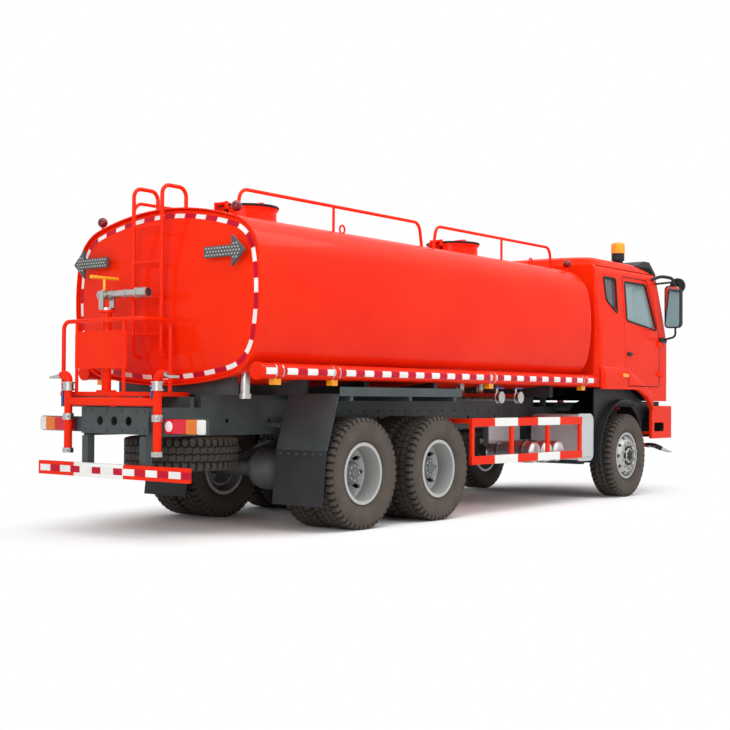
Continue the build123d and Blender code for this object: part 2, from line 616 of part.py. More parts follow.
with BuildPart() as pipework:
    rod((MONITOR_X, MONITOR_Y, DECK_Z), (MONITOR_X, MONITOR_Y, MONITOR_BASE_Z), RISER_R)
    rod((MONITOR_X, MONITOR_Y, MONITOR_BASE_Z - RISER_FLANGE_THICK), (MONITOR_X, MONITOR_Y, MONITOR_BASE_Z),
        RISER_FLANGE_R)
    rod((MONITOR_X, MONITOR_Y, DECK_Z), (MONITOR_X, MONITOR_Y, DECK_Z + RISER_FOOT_THICK), RISER_FOOT_R)
    for s in (-1, 1):
        y = s * SPRAY_Y
        rod((SPRAY_X, y, SPRAY_FOOT_Z), (SPRAY_X, y, SPRAY_JOINT_Z[0]), PIPE_R)
        rod((SPRAY_X, y, SPRAY_JOINT_Z[1]), (SPRAY_X, y, SPRAY_VALVE_Z[0]), PIPE_R)
        bent([(SPRAY_X, y, SPRAY_VALVE_Z[1]), (SPRAY_X, y, SPRAY_BEND_Z), (SPRAY_X, s * NOZZLE_Y, NOZZLE_Z)],
             PIPE_R, SPRAY_BEND)
        rod((FRONT_BAR_X, s * FRONT_DROP_Y, FRONT_BAR_Z), (FRONT_BAR_X, s * FRONT_DROP_Y, FRONT_DROP_TOP_Z), FRONT_DROP_R)
    rod((SPRAY_X, -SPRAY_Y, MANIFOLD_Z), (SPRAY_X, SPRAY_Y, MANIFOLD_Z), PIPE_R)
    rod((SPRAY_X, 0, MANIFOLD_Z), (PUMP_X[1], 0, MANIFOLD_Z), RISER_R)
    block(*PUMP_X, -PUMP_HALF_W, PUMP_HALF_W, *PUMP_Z)
    rod((FRONT_BAR_X, -FRONT_BAR_HALF_LEN, FRONT_BAR_Z), (FRONT_BAR_X, FRONT_BAR_HALF_LEN, FRONT_BAR_Z), FRONT_BAR_R)
pipework.part.label = "pipework"
export_step(pipework.part, "parts/pipework.step")

# Silver water fittings: couplings, valves, fan nozzles, drain and side outlets
FAN_NOZZLES = [
    # x, start y, z, reach
    (SPRAY_X, NOZZLE_Y, NOZZLE_Z, 110.0),
    (FRONT_BAR_X, FRONT_BAR_HALF_LEN, FRONT_BAR_Z, 120.0),
]
FAN_ROOT_R = 30.0
FAN_W = 120.0
FAN_H = 22.0
FAN_DROP = 20.0
SPRAY_END_Z = 745.0
VALVE_FLANGE = 14.0
VALVE_BODY_R = 48.0
DRAIN_X = -3850.0
DRAIN_Y = -880.0
DRAIN_Z = (1255.0, 1540.0)
DRAIN_R = 45.0
DRAIN_COUPLING_R = 58.0
DRAIN_COUPLING_Z = 1300.0
OUTLET_X = (93.0, 513.0)
OUTLET_ROOT_Y = -640.0
OUTLET_Z = 1285.0
OUTLET_NECK_Y = -1120.0
OUTLET_END_Y = -1185.0
OUTLET_PIPE_R = 42.0
OUTLET_R = 60.0
OUTLET_BEND = 90.0
with BuildPart() as fittings:
    for s in (-1, 1):
        y = s * SPRAY_Y
        rod((SPRAY_X, y, SPRAY_END_Z), (SPRAY_X, y, SPRAY_FOOT_Z), COUPLING_R)
        rod((SPRAY_X, y, SPRAY_JOINT_Z[0]), (SPRAY_X, y, SPRAY_JOINT_Z[1]), COUPLING_R)
        rod((SPRAY_X, y, SPRAY_VALVE_Z[0]), (SPRAY_X, y, SPRAY_VALVE_Z[1]), VALVE_BODY_R)
        rod((SPRAY_X, y, SPRAY_VALVE_Z[0]), (SPRAY_X, y, SPRAY_VALVE_Z[0] + VALVE_FLANGE), VALVE_R)
        rod((SPRAY_X, y, SPRAY_VALVE_Z[1] - VALVE_FLANGE), (SPRAY_X, y, SPRAY_VALVE_Z[1]), VALVE_R)
        for x, y0, z, reach in FAN_NOZZLES:
            with BuildSketch(Plane(origin=(x, s * y0, z), x_dir=(1, 0, 0), z_dir=(0, s, 0))):
                Circle(FAN_ROOT_R)
            with BuildSketch(Plane(origin=(x, s * (y0 + reach), z - FAN_DROP), x_dir=(1, 0, 0), z_dir=(0, s, 0))):
                Rectangle(FAN_W, FAN_H)
            loft()
    rod((DRAIN_X, DRAIN_Y, DRAIN_Z[0]), (DRAIN_X, DRAIN_Y, DRAIN_Z[1]), DRAIN_R)
    rod((DRAIN_X, DRAIN_Y, DRAIN_Z[0]), (DRAIN_X, DRAIN_Y, DRAIN_COUPLING_Z), DRAIN_COUPLING_R)
    for x in OUTLET_X:
        bent([(x, OUTLET_ROOT_Y, DRAIN_Z[1]), (x, OUTLET_ROOT_Y, OUTLET_Z), (x, OUTLET_NECK_Y, OUTLET_Z)],
             OUTLET_PIPE_R, OUTLET_BEND)
        rod((x, OUTLET_NECK_Y, OUTLET_Z), (x, OUTLET_END_Y, OUTLET_Z), OUTLET_R)
    add(tank.part, mode=Mode.SUBTRACT)
    add(pipework.part, mode=Mode.SUBTRACT)
fittings.part.label = "fittings"
export_step(fittings.part, "parts/fittings.step")

# Rear work platform with guard rail and shield panel
DECK_REAR_BEAM_X = (DECK_REAR_X + 10.0, DECK_REAR_X + 60.0)
DECK_FRONT_BEAM_X = (-4090.0, -4040.0)
GUARD_RAIL_X = -4580.0
GUARD_RAIL_LEFT_Y = 770.0
GUARD_RAIL_RIGHT_Y = -262.0
GUARD_RETURN_X = -4190.0
GUARD_RAIL_R = 20.0
GUARD_RAIL_BEND = 75.0
GUARD_POST_Y = (580.0, -66.0)
GUARD_POST_R = 16.0
SHIELD_THICK = 8.0
SHIELD_MID_Y = 250.0
SHIELD_W = 708.0
SHIELD_MID_Z = 1695.0
SHIELD_H = 344.0
SHIELD_CORNER_R = 20.0
with BuildPart() as rear_platform:
    block(DECK_REAR_X, DECK_FRONT_X, DECK_RIGHT_Y, DECK_LEFT_Y, DECK_Z - DECK_THICK, DECK_Z)
    block(*DECK_REAR_BEAM_X, DECK_RIGHT_Y, DECK_LEFT_Y, RAIL_TOP_Z, DECK_Z - DECK_THICK)
    block(*DECK_FRONT_BEAM_X, -RAIL_Y, DECK_LEFT_Y, RAIL_TOP_Z, DECK_Z - DECK_THICK)
    bent([(GUARD_RAIL_X, GUARD_RAIL_LEFT_Y, DECK_Z), (GUARD_RAIL_X, GUARD_RAIL_LEFT_Y, PLATFORM_RAIL_Z),
          (GUARD_RAIL_X, GUARD_RAIL_RIGHT_Y, PLATFORM_RAIL_Z), (GUARD_RETURN_X, GUARD_RAIL_RIGHT_Y, PLATFORM_RAIL_Z),
          (GUARD_RETURN_X, GUARD_RAIL_RIGHT_Y, DECK_Z)], GUARD_RAIL_R, GUARD_RAIL_BEND)
    for y in GUARD_POST_Y:
        rod((GUARD_RAIL_X, y, DECK_Z), (GUARD_RAIL_X, y, PLATFORM_RAIL_Z), GUARD_POST_R)
    pad_x(GUARD_RAIL_X - SHIELD_THICK / 2, GUARD_RAIL_X + SHIELD_THICK / 2, SHIELD_MID_Y, SHIELD_MID_Z, SHIELD_W, SHIELD_H,
          SHIELD_CORNER_R)
    add(pipework.part, mode=Mode.SUBTRACT)
rear_platform.part.label = "rear_platform"
export_step(rear_platform.part, "parts/rear_platform.step")

# Hose tubes along both lower tank sides with end caps, bands and brackets
TUBE_STATIONS = [-3755.0, -2935.0, -133.0, 2039.0]
TUBE_X = (-4010.0, 2280.0)
TUBE_CAP = 30.0
TUBE_CAP_PROUD = 8.0
TUBE_BAND_HALF_W = 25.0
TUBE_BAND_PROUD = 6.0
TUBE_BRACKET_HALF_W = 20.0
TUBE_BRACKET_IN_Y = 780.0
TUBE_BRACKET_Z = (1450.0, 1540.0)
with BuildPart() as hose_tubes:
    for s in (-1, 1):
        y = s * TUBE_Y
        rod((TUBE_X[0], y, TUBE_Z), (TUBE_X[1], y, TUBE_Z), TUBE_R)
        for x in (TUBE_X[0], TUBE_X[1] - TUBE_CAP):
            rod((x, y, TUBE_Z), (x + TUBE_CAP, y, TUBE_Z), TUBE_R + TUBE_CAP_PROUD)
        for x in TUBE_STATIONS:
            block(x - TUBE_BRACKET_HALF_W, x + TUBE_BRACKET_HALF_W, s * TUBE_BRACKET_IN_Y, s * (TUBE_Y - TUBE_R / 2),
                  *TUBE_BRACKET_Z)
            rod((x - TUBE_BAND_HALF_W, y, TUBE_Z), (x + TUBE_BAND_HALF_W, y, TUBE_Z), TUBE_R + TUBE_BAND_PROUD)
    add(tank.part, mode=Mode.SUBTRACT)
hose_tubes.part.label = "hose_tubes"
export_step(hose_tubes.part, "parts/hose_tubes.step")

# Amber side lamps under the tubes
SIDE_LAMP_Y = (1120.0, 1185.0)
SIDE_LAMP_W = 90.0
SIDE_LAMP_Z = (1380.0, 1450.0)
SIDE_LAMP_CORNER_R = 10.0
with BuildPart() as side_lamps:
    for s in (-1, 1):
        for x in TUBE_STATIONS:
            pad_y(s * SIDE_LAMP_Y[0], s * SIDE_LAMP_Y[1], x, sum(SIDE_LAMP_Z) / 2, SIDE_LAMP_W,
                  SIDE_LAMP_Z[1] - SIDE_LAMP_Z[0], SIDE_LAMP_CORNER_R)
    add(hose_tubes.part, mode=Mode.SUBTRACT)
side_lamps.part.label = "side_lamps"
export_step(side_lamps.part, "parts/side_lamps.step")

# Underrun bar across the two tail posts
BAR_REAR_X = -4690.0
BAR_HALF_LEN = 990.0
BAR_CORNER_R = 12.0
with BuildPart() as underrun_bar:
    pad_y(-BAR_HALF_LEN, BAR_HALF_LEN, (BAR_REAR_X + POST_X[0]) / 2, BAR_LOW_Z + BAR_HEIGHT / 2, POST_X[0] - BAR_REAR_X,
          BAR_HEIGHT, BAR_CORNER_R)
underrun_bar.part.label = "underrun_bar"
export_step(underrun_bar.part, "parts/underrun_bar.step")

# Tail lamps and the two round lamps on the tank's rear corners
TAIL_LAMP_THICK = 40.0
TAIL_LAMP_MID_Y = 850.0
TAIL_LAMP_W = 480.0
TAIL_LAMP_H = 130.0
TAIL_LAMP_CORNER_R = 22.0
MARKER_X = -4000.0
MARKER_Y = 896.0
MARKER_Z = TANK_TOP_Z - 38.0
MARKER_R = 50.0
MARKER_STALK_R = 12.0
MARKER_STALK_LOW_Z = TANK_TOP_Z - 175.0
with BuildPart() as rear_lamps:
    for s in (-1, 1):
        pad_x(POST_X[1] - TAIL_LAMP_THICK, POST_X[1], s * TAIL_LAMP_MID_Y, sum(CARRIER_Z) / 2, TAIL_LAMP_W, TAIL_LAMP_H,
              TAIL_LAMP_CORNER_R)
        rod((MARKER_X, s * MARKER_Y, MARKER_STALK_LOW_Z), (MARKER_X, s * MARKER_Y, MARKER_Z), MARKER_STALK_R)
        with Locations((MARKER_X, s * MARKER_Y, MARKER_Z)):
            Sphere(MARKER_R)
    with BuildSketch(Plane.YZ.offset(TANK_REAR_X - RIM_BAND_W)):
        tank_outline(RIM_BAND_PROUD + RIM_BAND_FIT)
    extrude(amount=2 * RIM_BAND_W, mode=Mode.SUBTRACT)
rear_lamps.part.label = "rear_lamps"
export_step(rear_lamps.part, "parts/rear_lamps.step")

SPARE_PLATE_R = 70.0
with BuildPart() as spare_tyre:
    flat_turned(tyre_profile(0.0), SPARE_X, SPARE_Z)
spare_tyre.part.label = "spare_tyre"
export_step(spare_tyre.part, "parts/spare_tyre.step")

with BuildPart() as spare_rim:
    flat_turned(rim_profile(0.0, -1.0, FRONT_DISC_W), SPARE_X, SPARE_Z)
    rod((SPARE_X, 0, SPARE_Z - FRONT_DISC_W - DISC_THICK), (SPARE_X, 0, SPARE_Z - FRONT_DISC_W), SPARE_PLATE_R)
    rod((SPARE_X, 0, SPARE_Z - FRONT_DISC_W - RIM_LIP / 2), (SPARE_X, 0, SPARE_Z + SPARE_POST_FOOT), SPARE_POST_R)
spare_rim.part.label = "spare_rim"
export_step(spare_rim.part, "parts/spare_rim.step")

# Steel mudguards over the bogie with slanted tail plates, and the rubber flaps below
MUDGUARD_X = (-2889.0, -774.0)
MUDGUARD_IN_Y = 575.0
MUDGUARD_OUT_Y = 1215.0
MUDGUARD_Z = 1300.0
MUDGUARD_SHEET = 6.0
MUDGUARD_EDGE = 8.0
MUDGUARD_EDGE_Z = (1285.0, 1372.0)
MUDGUARD_ARM_X = (-2700.0, -1720.0, -900.0)
MUDGUARD_ARM_HALF_W = 25.0
MUDGUARD_ARM_LOW_Z = 1240.0
TAIL_SHEET = [(-2889, 1306), (-2880, 1306), (-3062, 770), (-3071, 770)]
TAIL_SHEET_Y = (580.0, 1200.0)
TAIL_ARM_X = (-3030.0, -2990.0)
TAIL_ARM_END_Y = 590.0
TAIL_ARM_Z = (980.0, 1020.0)
FLAP_SHEET = [(-3061, 770), (-3072, 770), (-3133, 250), (-3122, 250)]
FLAP_SHEET_Y = (585.0, 1195.0)
with BuildPart() as mudguards:
    for s in (-1, 1):
        block(*MUDGUARD_X, s * MUDGUARD_IN_Y, s * MUDGUARD_OUT_Y, MUDGUARD_Z, MUDGUARD_Z + MUDGUARD_SHEET)
        block(*MUDGUARD_X, s * (MUDGUARD_OUT_Y - MUDGUARD_EDGE), s * MUDGUARD_OUT_Y, *MUDGUARD_EDGE_Z)
        for x in MUDGUARD_ARM_X:
            block(x - MUDGUARD_ARM_HALF_W, x + MUDGUARD_ARM_HALF_W, s * RAIL_Y, s * (MUDGUARD_OUT_Y - MUDGUARD_EDGE),
                  MUDGUARD_ARM_LOW_Z, MUDGUARD_Z)
        outline(TAIL_SHEET, s * TAIL_SHEET_Y[0], s * TAIL_SHEET_Y[1])
        block(*TAIL_ARM_X, s * RAIL_Y, s * TAIL_ARM_END_Y, *TAIL_ARM_Z)
    add(tank_subframe.part, mode=Mode.SUBTRACT)
mudguards.part.label = "mudguards"
export_step(mudguards.part, "parts/mudguards.step")

with BuildPart() as mud_flaps:
    for s in (-1, 1):
        outline(FLAP_SHEET, s * FLAP_SHEET_Y[0], s * FLAP_SHEET_Y[1])
mud_flaps.part.label = "mud_flaps"
export_step(mud_flaps.part, "parts/mud_flaps.step")

# Side guards between the axles
GUARD_X = (-573.0, 1953.0)
GUARD_POSTS = [-573.0, 260.0, 1090.0, 1893.0]
GUARD_POST_W = 60.0
GUARD_RAIL_Y = (1175.0, 1215.0)
GUARD_POST_IN_Y = 1180.0
GUARD_RAIL_LOW_Z = (552.0, 965.0)
GUARD_RAIL_H = 90.0
GUARD_ARM_Z = (1000.0, 1050.0)
with BuildPart() as side_guards:
    for s in (-1, 1):
        for z in GUARD_RAIL_LOW_Z:
            block(*GUARD_X, s * GUARD_RAIL_Y[0], s * GUARD_RAIL_Y[1], z, z + GUARD_RAIL_H)
        for x in GUARD_POSTS:
            block(x, x + GUARD_POST_W, s * GUARD_POST_IN_Y, s * (GUARD_RAIL_Y[1] - 5), GUARD_RAIL_LOW_Z[0],
                  GUARD_RAIL_LOW_Z[1] + GUARD_RAIL_H)
        for x in (GUARD_POSTS[0], GUARD_POSTS[-1]):
            block(x, x + GUARD_POST_W, s * RAIL_Y, s * GUARD_POST_IN_Y, *GUARD_ARM_Z)
side_guards.part.label = "side_guards"
export_step(side_guards.part, "parts/side_guards.step")

# Three crowned air tanks and the silencer on the right of the frame
AIR_TANK_X = (1020.0, 1310.0, 1600.0)
AIR_TANK_Z = 640.0
AIR_TANK_Y = (-470.0, -1110.0)
AIR_TANK_R = 125.0
AIR_TANK_CROWN = 50.0
AIR_HANGER_X = (940.0, 1680.0)
AIR_HANGER_END_Y = -500.0
AIR_HANGER_Z = (700.0, 960.0)
with BuildPart() as air_tanks:
    for x in AIR_TANK_X:
        turned([(0, AIR_TANK_Y[0]), (AIR_TANK_R, AIR_TANK_Y[0]), (AIR_TANK_R, AIR_TANK_Y[1]), (0, AIR_TANK_Y[1])],
               x, AIR_TANK_Z, AIR_TANK_CROWN)
    block(*AIR_HANGER_X, AIR_HANGER_END_Y, -RAIL_Y, *AIR_HANGER_Z)
air_tanks.part.label = "air_tanks"
export_step(air_tanks.part, "parts/air_tanks.step")

SILENCER_X = 2205.0
SILENCER_Z = 795.0
SILENCER_W = 410.0
SILENCER_H = 570.0
SILENCER_CORNER_R = 85.0
SILENCER_Y = (-480.0, -1130.0)
SILENCER_RIM = 10.0
SILENCER_RIM_W = 24.0
SILENCER_ARM_X = (2100.0, 2300.0)
SILENCER_ARM_Z = (930.0, 1050.0)
with BuildPart() as silencer:
    pad_y(*SILENCER_Y, SILENCER_X, SILENCER_Z, SILENCER_W, SILENCER_H, SILENCER_CORNER_R)
    pad_y(SILENCER_Y[1], SILENCER_Y[1] + SILENCER_RIM_W, SILENCER_X, SILENCER_Z, SILENCER_W + 2 * SILENCER_RIM,
          SILENCER_H + 2 * SILENCER_RIM, SILENCER_CORNER_R + SILENCER_RIM)
    block(*SILENCER_ARM_X, SILENCER_Y[0] - RIM_LIP, -RAIL_Y, *SILENCER_ARM_Z)
silencer.part.label = "silencer"
export_step(silencer.part, "parts/silencer.step")

# Fuel tank with straps and cap, and the battery box, on the left of the frame
FUEL_X = (-250.0, 1000.0)
FUEL_MID_Y = 805.0
FUEL_MID_Z = 790.0
FUEL_W = 640.0
FUEL_H = 560.0
FUEL_CORNER_R = 110.0
FUEL_STRAP_X = (0.0, 750.0)
FUEL_STRAP_HALF_W = 30.0
FUEL_STRAP_PROUD = 5.0
FUEL_ARM_Z = (900.0, 1060.0)
FUEL_CAP_X = 300.0
FUEL_CAP_R = 55.0
FUEL_CAP_H = 35.0
with BuildPart() as fuel_tank:
    pad_x(*FUEL_X, FUEL_MID_Y, FUEL_MID_Z, FUEL_W, FUEL_H, FUEL_CORNER_R)
    for x in FUEL_STRAP_X:
        pad_x(x - FUEL_STRAP_HALF_W, x + FUEL_STRAP_HALF_W, FUEL_MID_Y, FUEL_MID_Z, FUEL_W + 2 * FUEL_STRAP_PROUD,
              FUEL_H + 2 * FUEL_STRAP_PROUD, FUEL_CORNER_R + FUEL_STRAP_PROUD)
        block(x - FUEL_STRAP_HALF_W, x + FUEL_STRAP_HALF_W, RAIL_Y, FUEL_MID_Y - FUEL_W / 2 + FUEL_STRAP_PROUD, *FUEL_ARM_Z)
    top = FUEL_MID_Z + FUEL_H / 2
    rod((FUEL_CAP_X, FUEL_MID_Y, top - FUEL_STRAP_PROUD), (FUEL_CAP_X, FUEL_MID_Y, top + FUEL_CAP_H), FUEL_CAP_R)
fuel_tank.part.label = "fuel_tank"
export_step(fuel_tank.part, "parts/fuel_tank.step")

BATTERY_X = (1200.0, 1830.0)
BATTERY_Y = (490.0, 1080.0)
BATTERY_Z = (600.0, 1000.0)
BATTERY_LID_Z = 920.0
BATTERY_LID_PROUD = 10.0
BATTERY_ARM_X = (1300.0, 1700.0)
with BuildPart() as battery_box:
    block(*BATTERY_X, *BATTERY_Y, *BATTERY_Z)
    block(BATTERY_X[0] - BATTERY_LID_PROUD, BATTERY_X[1] + BATTERY_LID_PROUD, BATTERY_Y[0],
          BATTERY_Y[1] + BATTERY_LID_PROUD, BATTERY_LID_Z, BATTERY_Z[1])
    block(*BATTERY_ARM_X, RAIL_Y, BATTERY_Y[0] + BATTERY_LID_PROUD, BATTERY_LID_Z, BATTERY_Z[1] - BATTERY_LID_PROUD)
battery_box.part.label = "battery_box"
export_step(battery_box.part, "parts/battery_box.step")

# Black liners curved round the front wheels
LINER_R = 720.0
LINER_THICK = 12.0
LINER_Y = (600.0, 1185.0)
LINER_START_DEG = 62.0
LINER_SWEEP_DEG = 124.0
LINER_ARM_X = (2762.0, 2790.0)
LINER_ARM_Z = (1080.0, 1120.0)
with BuildPart() as front_mudguards:
    for s in (-1, 1):
        low = min(s * LINER_Y[0], s * LINER_Y[1])
        with BuildSketch(Plane.XZ.offset(-low), mode=Mode.PRIVATE) as liner:
            with BuildLine():
                inner = CenterArc((FRONT_AXLE_X, TYRE_R), LINER_R, LINER_START_DEG, LINER_SWEEP_DEG)
                outer = CenterArc((FRONT_AXLE_X, TYRE_R), LINER_R + LINER_THICK, LINER_START_DEG, LINER_SWEEP_DEG)
                Line(inner @ 0, outer @ 0)
                Line(inner @ 1, outer @ 1)
            make_face()
        extrude(liner.sketch, amount=LINER_Y[0] - LINER_Y[1])
        block(*LINER_ARM_X, s * RAIL_Y, s * (LINER_Y[0] + LINER_THICK), *LINER_ARM_Z)
front_mudguards.part.label = "front_mudguards"
export_step(front_mudguards.part, "parts/front_mudguards.step")

# Bumper wrapped round the front corners, with steps and lamp pockets
BUMPER_REAR_X = 3957.0
BUMPER_HALF_W = 1215.0
BUMPER_LOW_Z = 745.0
BUMPER_TOP_Z = 1185.0
BUMPER_WALL = 40.0
BUMPER_CORNER_R = 180.0
STEP_HOLE_X = 4180.0
STEP_HOLE_Z = 900.0
STEP_HOLE_W = 300.0
STEP_HOLE_H = 120.0
STEP_HOLE_R = 25.0
STEP_X = (4000.0, 4360.0)
STEP_IN_Y = 1030.0
STEP_Z = (800.0, 836.0)
LAMP_MID_Y = 860.0
LAMP_MID_Z = 970.0
LAMP_W = 320.0
LAMP_H = 180.0
LAMP_CORNER_R = 40.0
LAMP_POCKET = 25.0
LAMP_THICK = 22.0
LAMP_FIT = 0.3
BUMPER_ARM_Y = (345.0, 395.0)
BUMPER_ARM_Z = (950.0, 1050.0)
with BuildPart() as front_bumper:
    with BuildSketch(Plane.XY.offset(BUMPER_LOW_Z)) as bumper_plan:
        with Locations(((BUMPER_REAR_X + FRONT_X) / 2, 0)):
            Rectangle(FRONT_X - BUMPER_REAR_X, 2 * BUMPER_HALF_W)
        fillet(bumper_plan.vertices().group_by(Axis.X)[-1], BUMPER_CORNER_R)
        offset(bumper_plan.sketch, amount=-BUMPER_WALL, mode=Mode.SUBTRACT)
    extrude(amount=BUMPER_TOP_Z - BUMPER_LOW_Z)
    block(BUMPER_REAR_X - 1, BUMPER_REAR_X + BUMPER_WALL + 1, BUMPER_WALL - BUMPER_HALF_W, BUMPER_HALF_W - BUMPER_WALL,
          BUMPER_LOW_Z - 1, BUMPER_TOP_Z + 1, mode=Mode.SUBTRACT)
    for s in (-1, 1):
        pad_y(s * (BUMPER_HALF_W - 2 * BUMPER_WALL), s * (BUMPER_HALF_W + BUMPER_WALL), STEP_HOLE_X, STEP_HOLE_Z,
              STEP_HOLE_W, STEP_HOLE_H, STEP_HOLE_R, mode=Mode.SUBTRACT)
        block(*STEP_X, s * STEP_IN_Y, s * (BUMPER_HALF_W - BUMPER_WALL + 5), *STEP_Z)
        pad_x(FRONT_X - LAMP_POCKET, FRONT_X + LAMP_POCKET, s * LAMP_MID_Y, LAMP_MID_Z, LAMP_W, LAMP_H, LAMP_CORNER_R,
              mode=Mode.SUBTRACT)
        block(FRAME_FRONT_X, FRONT_X - BUMPER_WALL + 5, s * BUMPER_ARM_Y[0], s * BUMPER_ARM_Y[1], *BUMPER_ARM_Z)
front_bumper.part.label = "front_bumper"
export_step(front_bumper.part, "parts/front_bumper.step")

with BuildPart() as headlamps:
    for s in (-1, 1):
        pad_x(FRONT_X - LAMP_POCKET, FRONT_X - LAMP_POCKET + LAMP_THICK, s * LAMP_MID_Y, LAMP_MID_Z,
              LAMP_W - 2 * LAMP_FIT, LAMP_H - 2 * LAMP_FIT, LAMP_CORNER_R - LAMP_FIT)
headlamps.part.label = "headlamps"
export_step(headlamps.part, "parts/headlamps.step")

# Arrow boards on stand-offs at the rear head
ARROW_Z = TANK_TOP_Z - 455.0
ARROW_X = (-4160.0, -4135.0)
ARROW_TIP_Y = 1135.0
ARROW_HEAD_Y = 985.0
ARROW_TAIL_Y = 650.0
ARROW_HEAD_HALF_H = 140.0
ARROW_SHAFT_HALF_H = 50.0
STANDOFF_Y = (720.0, 960.0)
STANDOFF_R = 12.0
ARROW_SHAPE = [
    (ARROW_TIP_Y, 0.0),
    (ARROW_HEAD_Y, ARROW_HEAD_HALF_H),
    (ARROW_HEAD_Y, ARROW_SHAFT_HALF_H),
    (ARROW_TAIL_Y, ARROW_SHAFT_HALF_H),
    (ARROW_TAIL_Y, -ARROW_SHAFT_HALF_H),
    (ARROW_HEAD_Y, -ARROW_SHAFT_HALF_H),
    (ARROW_HEAD_Y, -ARROW_HEAD_HALF_H),
]
with BuildPart() as arrow_boards:
    for s in (-1, 1):
        cross_plate([(s * y, ARROW_Z + h) for y, h in ARROW_SHAPE], *ARROW_X)
        for y in STANDOFF_Y:
            rod((ARROW_X[1] - RIM_LIP, s * y, ARROW_Z), (TANK_REAR_X + STANDOFF_R, s * y, ARROW_Z), STANDOFF_R)
    add(tank.part, mode=Mode.SUBTRACT)
arrow_boards.part.label = "arrow_boards"
export_step(arrow_boards.part, "parts/arrow_boards.step")


def cab_form(inset):
    """The closed cab shape, drawn in from its outer skin by inset."""
    skirt_z = CAB_SILL_Z - 100
    with BuildPart(mode=Mode.PRIVATE) as form:
        with BuildSketch(Plane.XZ):
            with BuildLine():
                Polyline((CAB_REAR_X, CAB_FLOOR_Z), (ARCH_FRONT_X, CAB_FLOOR_Z), (ARCH_FRONT_X + ARCH_RUN, CAB_SILL_Z),
                         (CAB_FRONT_X, CAB_SILL_Z), (CAB_FRONT_X, CAB_BELT_Z), (CAB_BROW_X, CAB_BROW_Z),
                         (CAB_BROW_X - CAB_BROW_RUN, CAB_ROOF_Z), (CAB_REAR_X + CAB_REAR_ROOF_RUN, CAB_ROOF_Z),
                         (CAB_REAR_X, CAB_ROOF_Z - CAB_REAR_ROOF_DROP), close=True)
            make_face()
            if inset > 0:
                offset(amount=-inset, kind=Kind.INTERSECTION)
        extrude(amount=CAB_HALF_W + 100, both=True)
        with BuildSketch(Plane.YZ.offset(CAB_REAR_X - 50)) as cross:
            with BuildLine():
                Polyline((-CAB_HALF_W, skirt_z), (CAB_HALF_W, skirt_z), (CAB_HALF_W, CAB_BELT_Z),
                         (CAB_EAVE_HALF_W, CAB_EAVE_Z))
                ThreePointArc((CAB_EAVE_HALF_W, CAB_EAVE_Z), (0, CAB_ROOF_Z), (-CAB_EAVE_HALF_W, CAB_EAVE_Z))
                Polyline((-CAB_EAVE_HALF_W, CAB_EAVE_Z), (-CAB_HALF_W, CAB_BELT_Z), (-CAB_HALF_W, skirt_z))
            make_face()
            fillet(cross.vertices().group_by(Axis.Y)[-1], CAB_EAVE_R)
            if inset > 0:
                offset(amount=-inset)
        extrude(cross.sketch, amount=CAB_FRONT_X - CAB_REAR_X + 100, mode=Mode.INTERSECT)
        with BuildSketch(Plane.XY.offset(skirt_z)) as tail:
            with Locations(((CAB_REAR_X + inset + CAB_FRONT_X + CAB_CORNER_R) / 2, 0)):
                Rectangle(CAB_FRONT_X + CAB_CORNER_R - CAB_REAR_X - inset, 2 * (CAB_HALF_W - inset))
            fillet(tail.vertices().group_by(Axis.X)[0], CAB_REAR_CORNER_R - inset)
        extrude(tail.sketch, amount=CAB_ROOF_Z - skirt_z + 100, mode=Mode.INTERSECT)
        with BuildSketch(Plane.XY.offset(CAB_SILL_Z - 50)) as plan:
            with Locations(((CAB_REAR_X - 1000 + CAB_FRONT_X - inset) / 2, 0)):
                Rectangle(CAB_FRONT_X - inset - CAB_REAR_X + 1000, 2 * (CAB_HALF_W - inset))
            fillet(plan.vertices().group_by(Axis.X)[-1], CAB_CORNER_R - inset)
        with BuildPart(mode=Mode.PRIVATE) as nose:
            extrude(plan.sketch, amount=CAB_BELT_Z - CAB_SILL_Z + 50)
            lean = (CAB_BROW_X - CAB_FRONT_X, 0, CAB_BROW_Z - CAB_BELT_Z)
            upper = plan.sketch.moved(Location((0, 0, CAB_BELT_Z - CAB_SILL_Z + 50)))
            extrude(upper, amount=1.5 * Vector(*lean).length, dir=lean)
        add(nose.part, mode=Mode.INTERSECT)
    return form.part


DOOR_OUTLINE = [(DOOR_REAR_X, DOOR_BOTTOM_Z), (DOOR_FRONT_X, DOOR_BOTTOM_Z), (DOOR_FRONT_X, DOOR_PILLAR_Z),
                (DOOR_PILLAR_X, DOOR_TOP_Z), (DOOR_REAR_X, DOOR_TOP_Z)]
DOOR_WINDOW = [(3245, 2310), (4140, 2215), (3880, DOOR_TOP_Z - 60), (3245, DOOR_TOP_Z - 60)]
QUARTER_WINDOW = [(2690, 2545), (2985, 2385), (2985, DOOR_TOP_Z - 40), (2640, DOOR_TOP_Z - 40)]
ARCH_FLARE = [(2470, 1440), (2470, 1402), (3480, 1402), (3900, 1255), (3985, 1255), (3985, 1300), (3545, 1440)]
ARCH_FLARE_CORNER_R = 15.0
ARCH_FLARE_PROUD = 38.0
SIDE_OUT_Y = CAB_HALF_W + 100.0
SIDE_IN_Y = CAB_HALF_W - 90.0
DOOR_CUT_Y = CAB_HALF_W - 150.0
WINDOW_CUT_Y = CAB_HALF_W - 200.0
CUT_FRONT_X = CAB_FRONT_X + 100.0
CUT_REAR_X = CAB_REAR_X - 130.0
CUT_TOP_Z = CAB_ROOF_Z + 225.0
SCREEN_CUT_X = 4150.0
SCREEN_HALF_W = CAB_HALF_W - 185.0
SCREEN_LOW_Z = CAB_BELT_Z + 50.0
SCREEN_HIGH_Z = CAB_BROW_Z - 37.0
FLAP_CUT_X = 4400.0
FLAP_HALF_W = CAB_HALF_W - 215.0
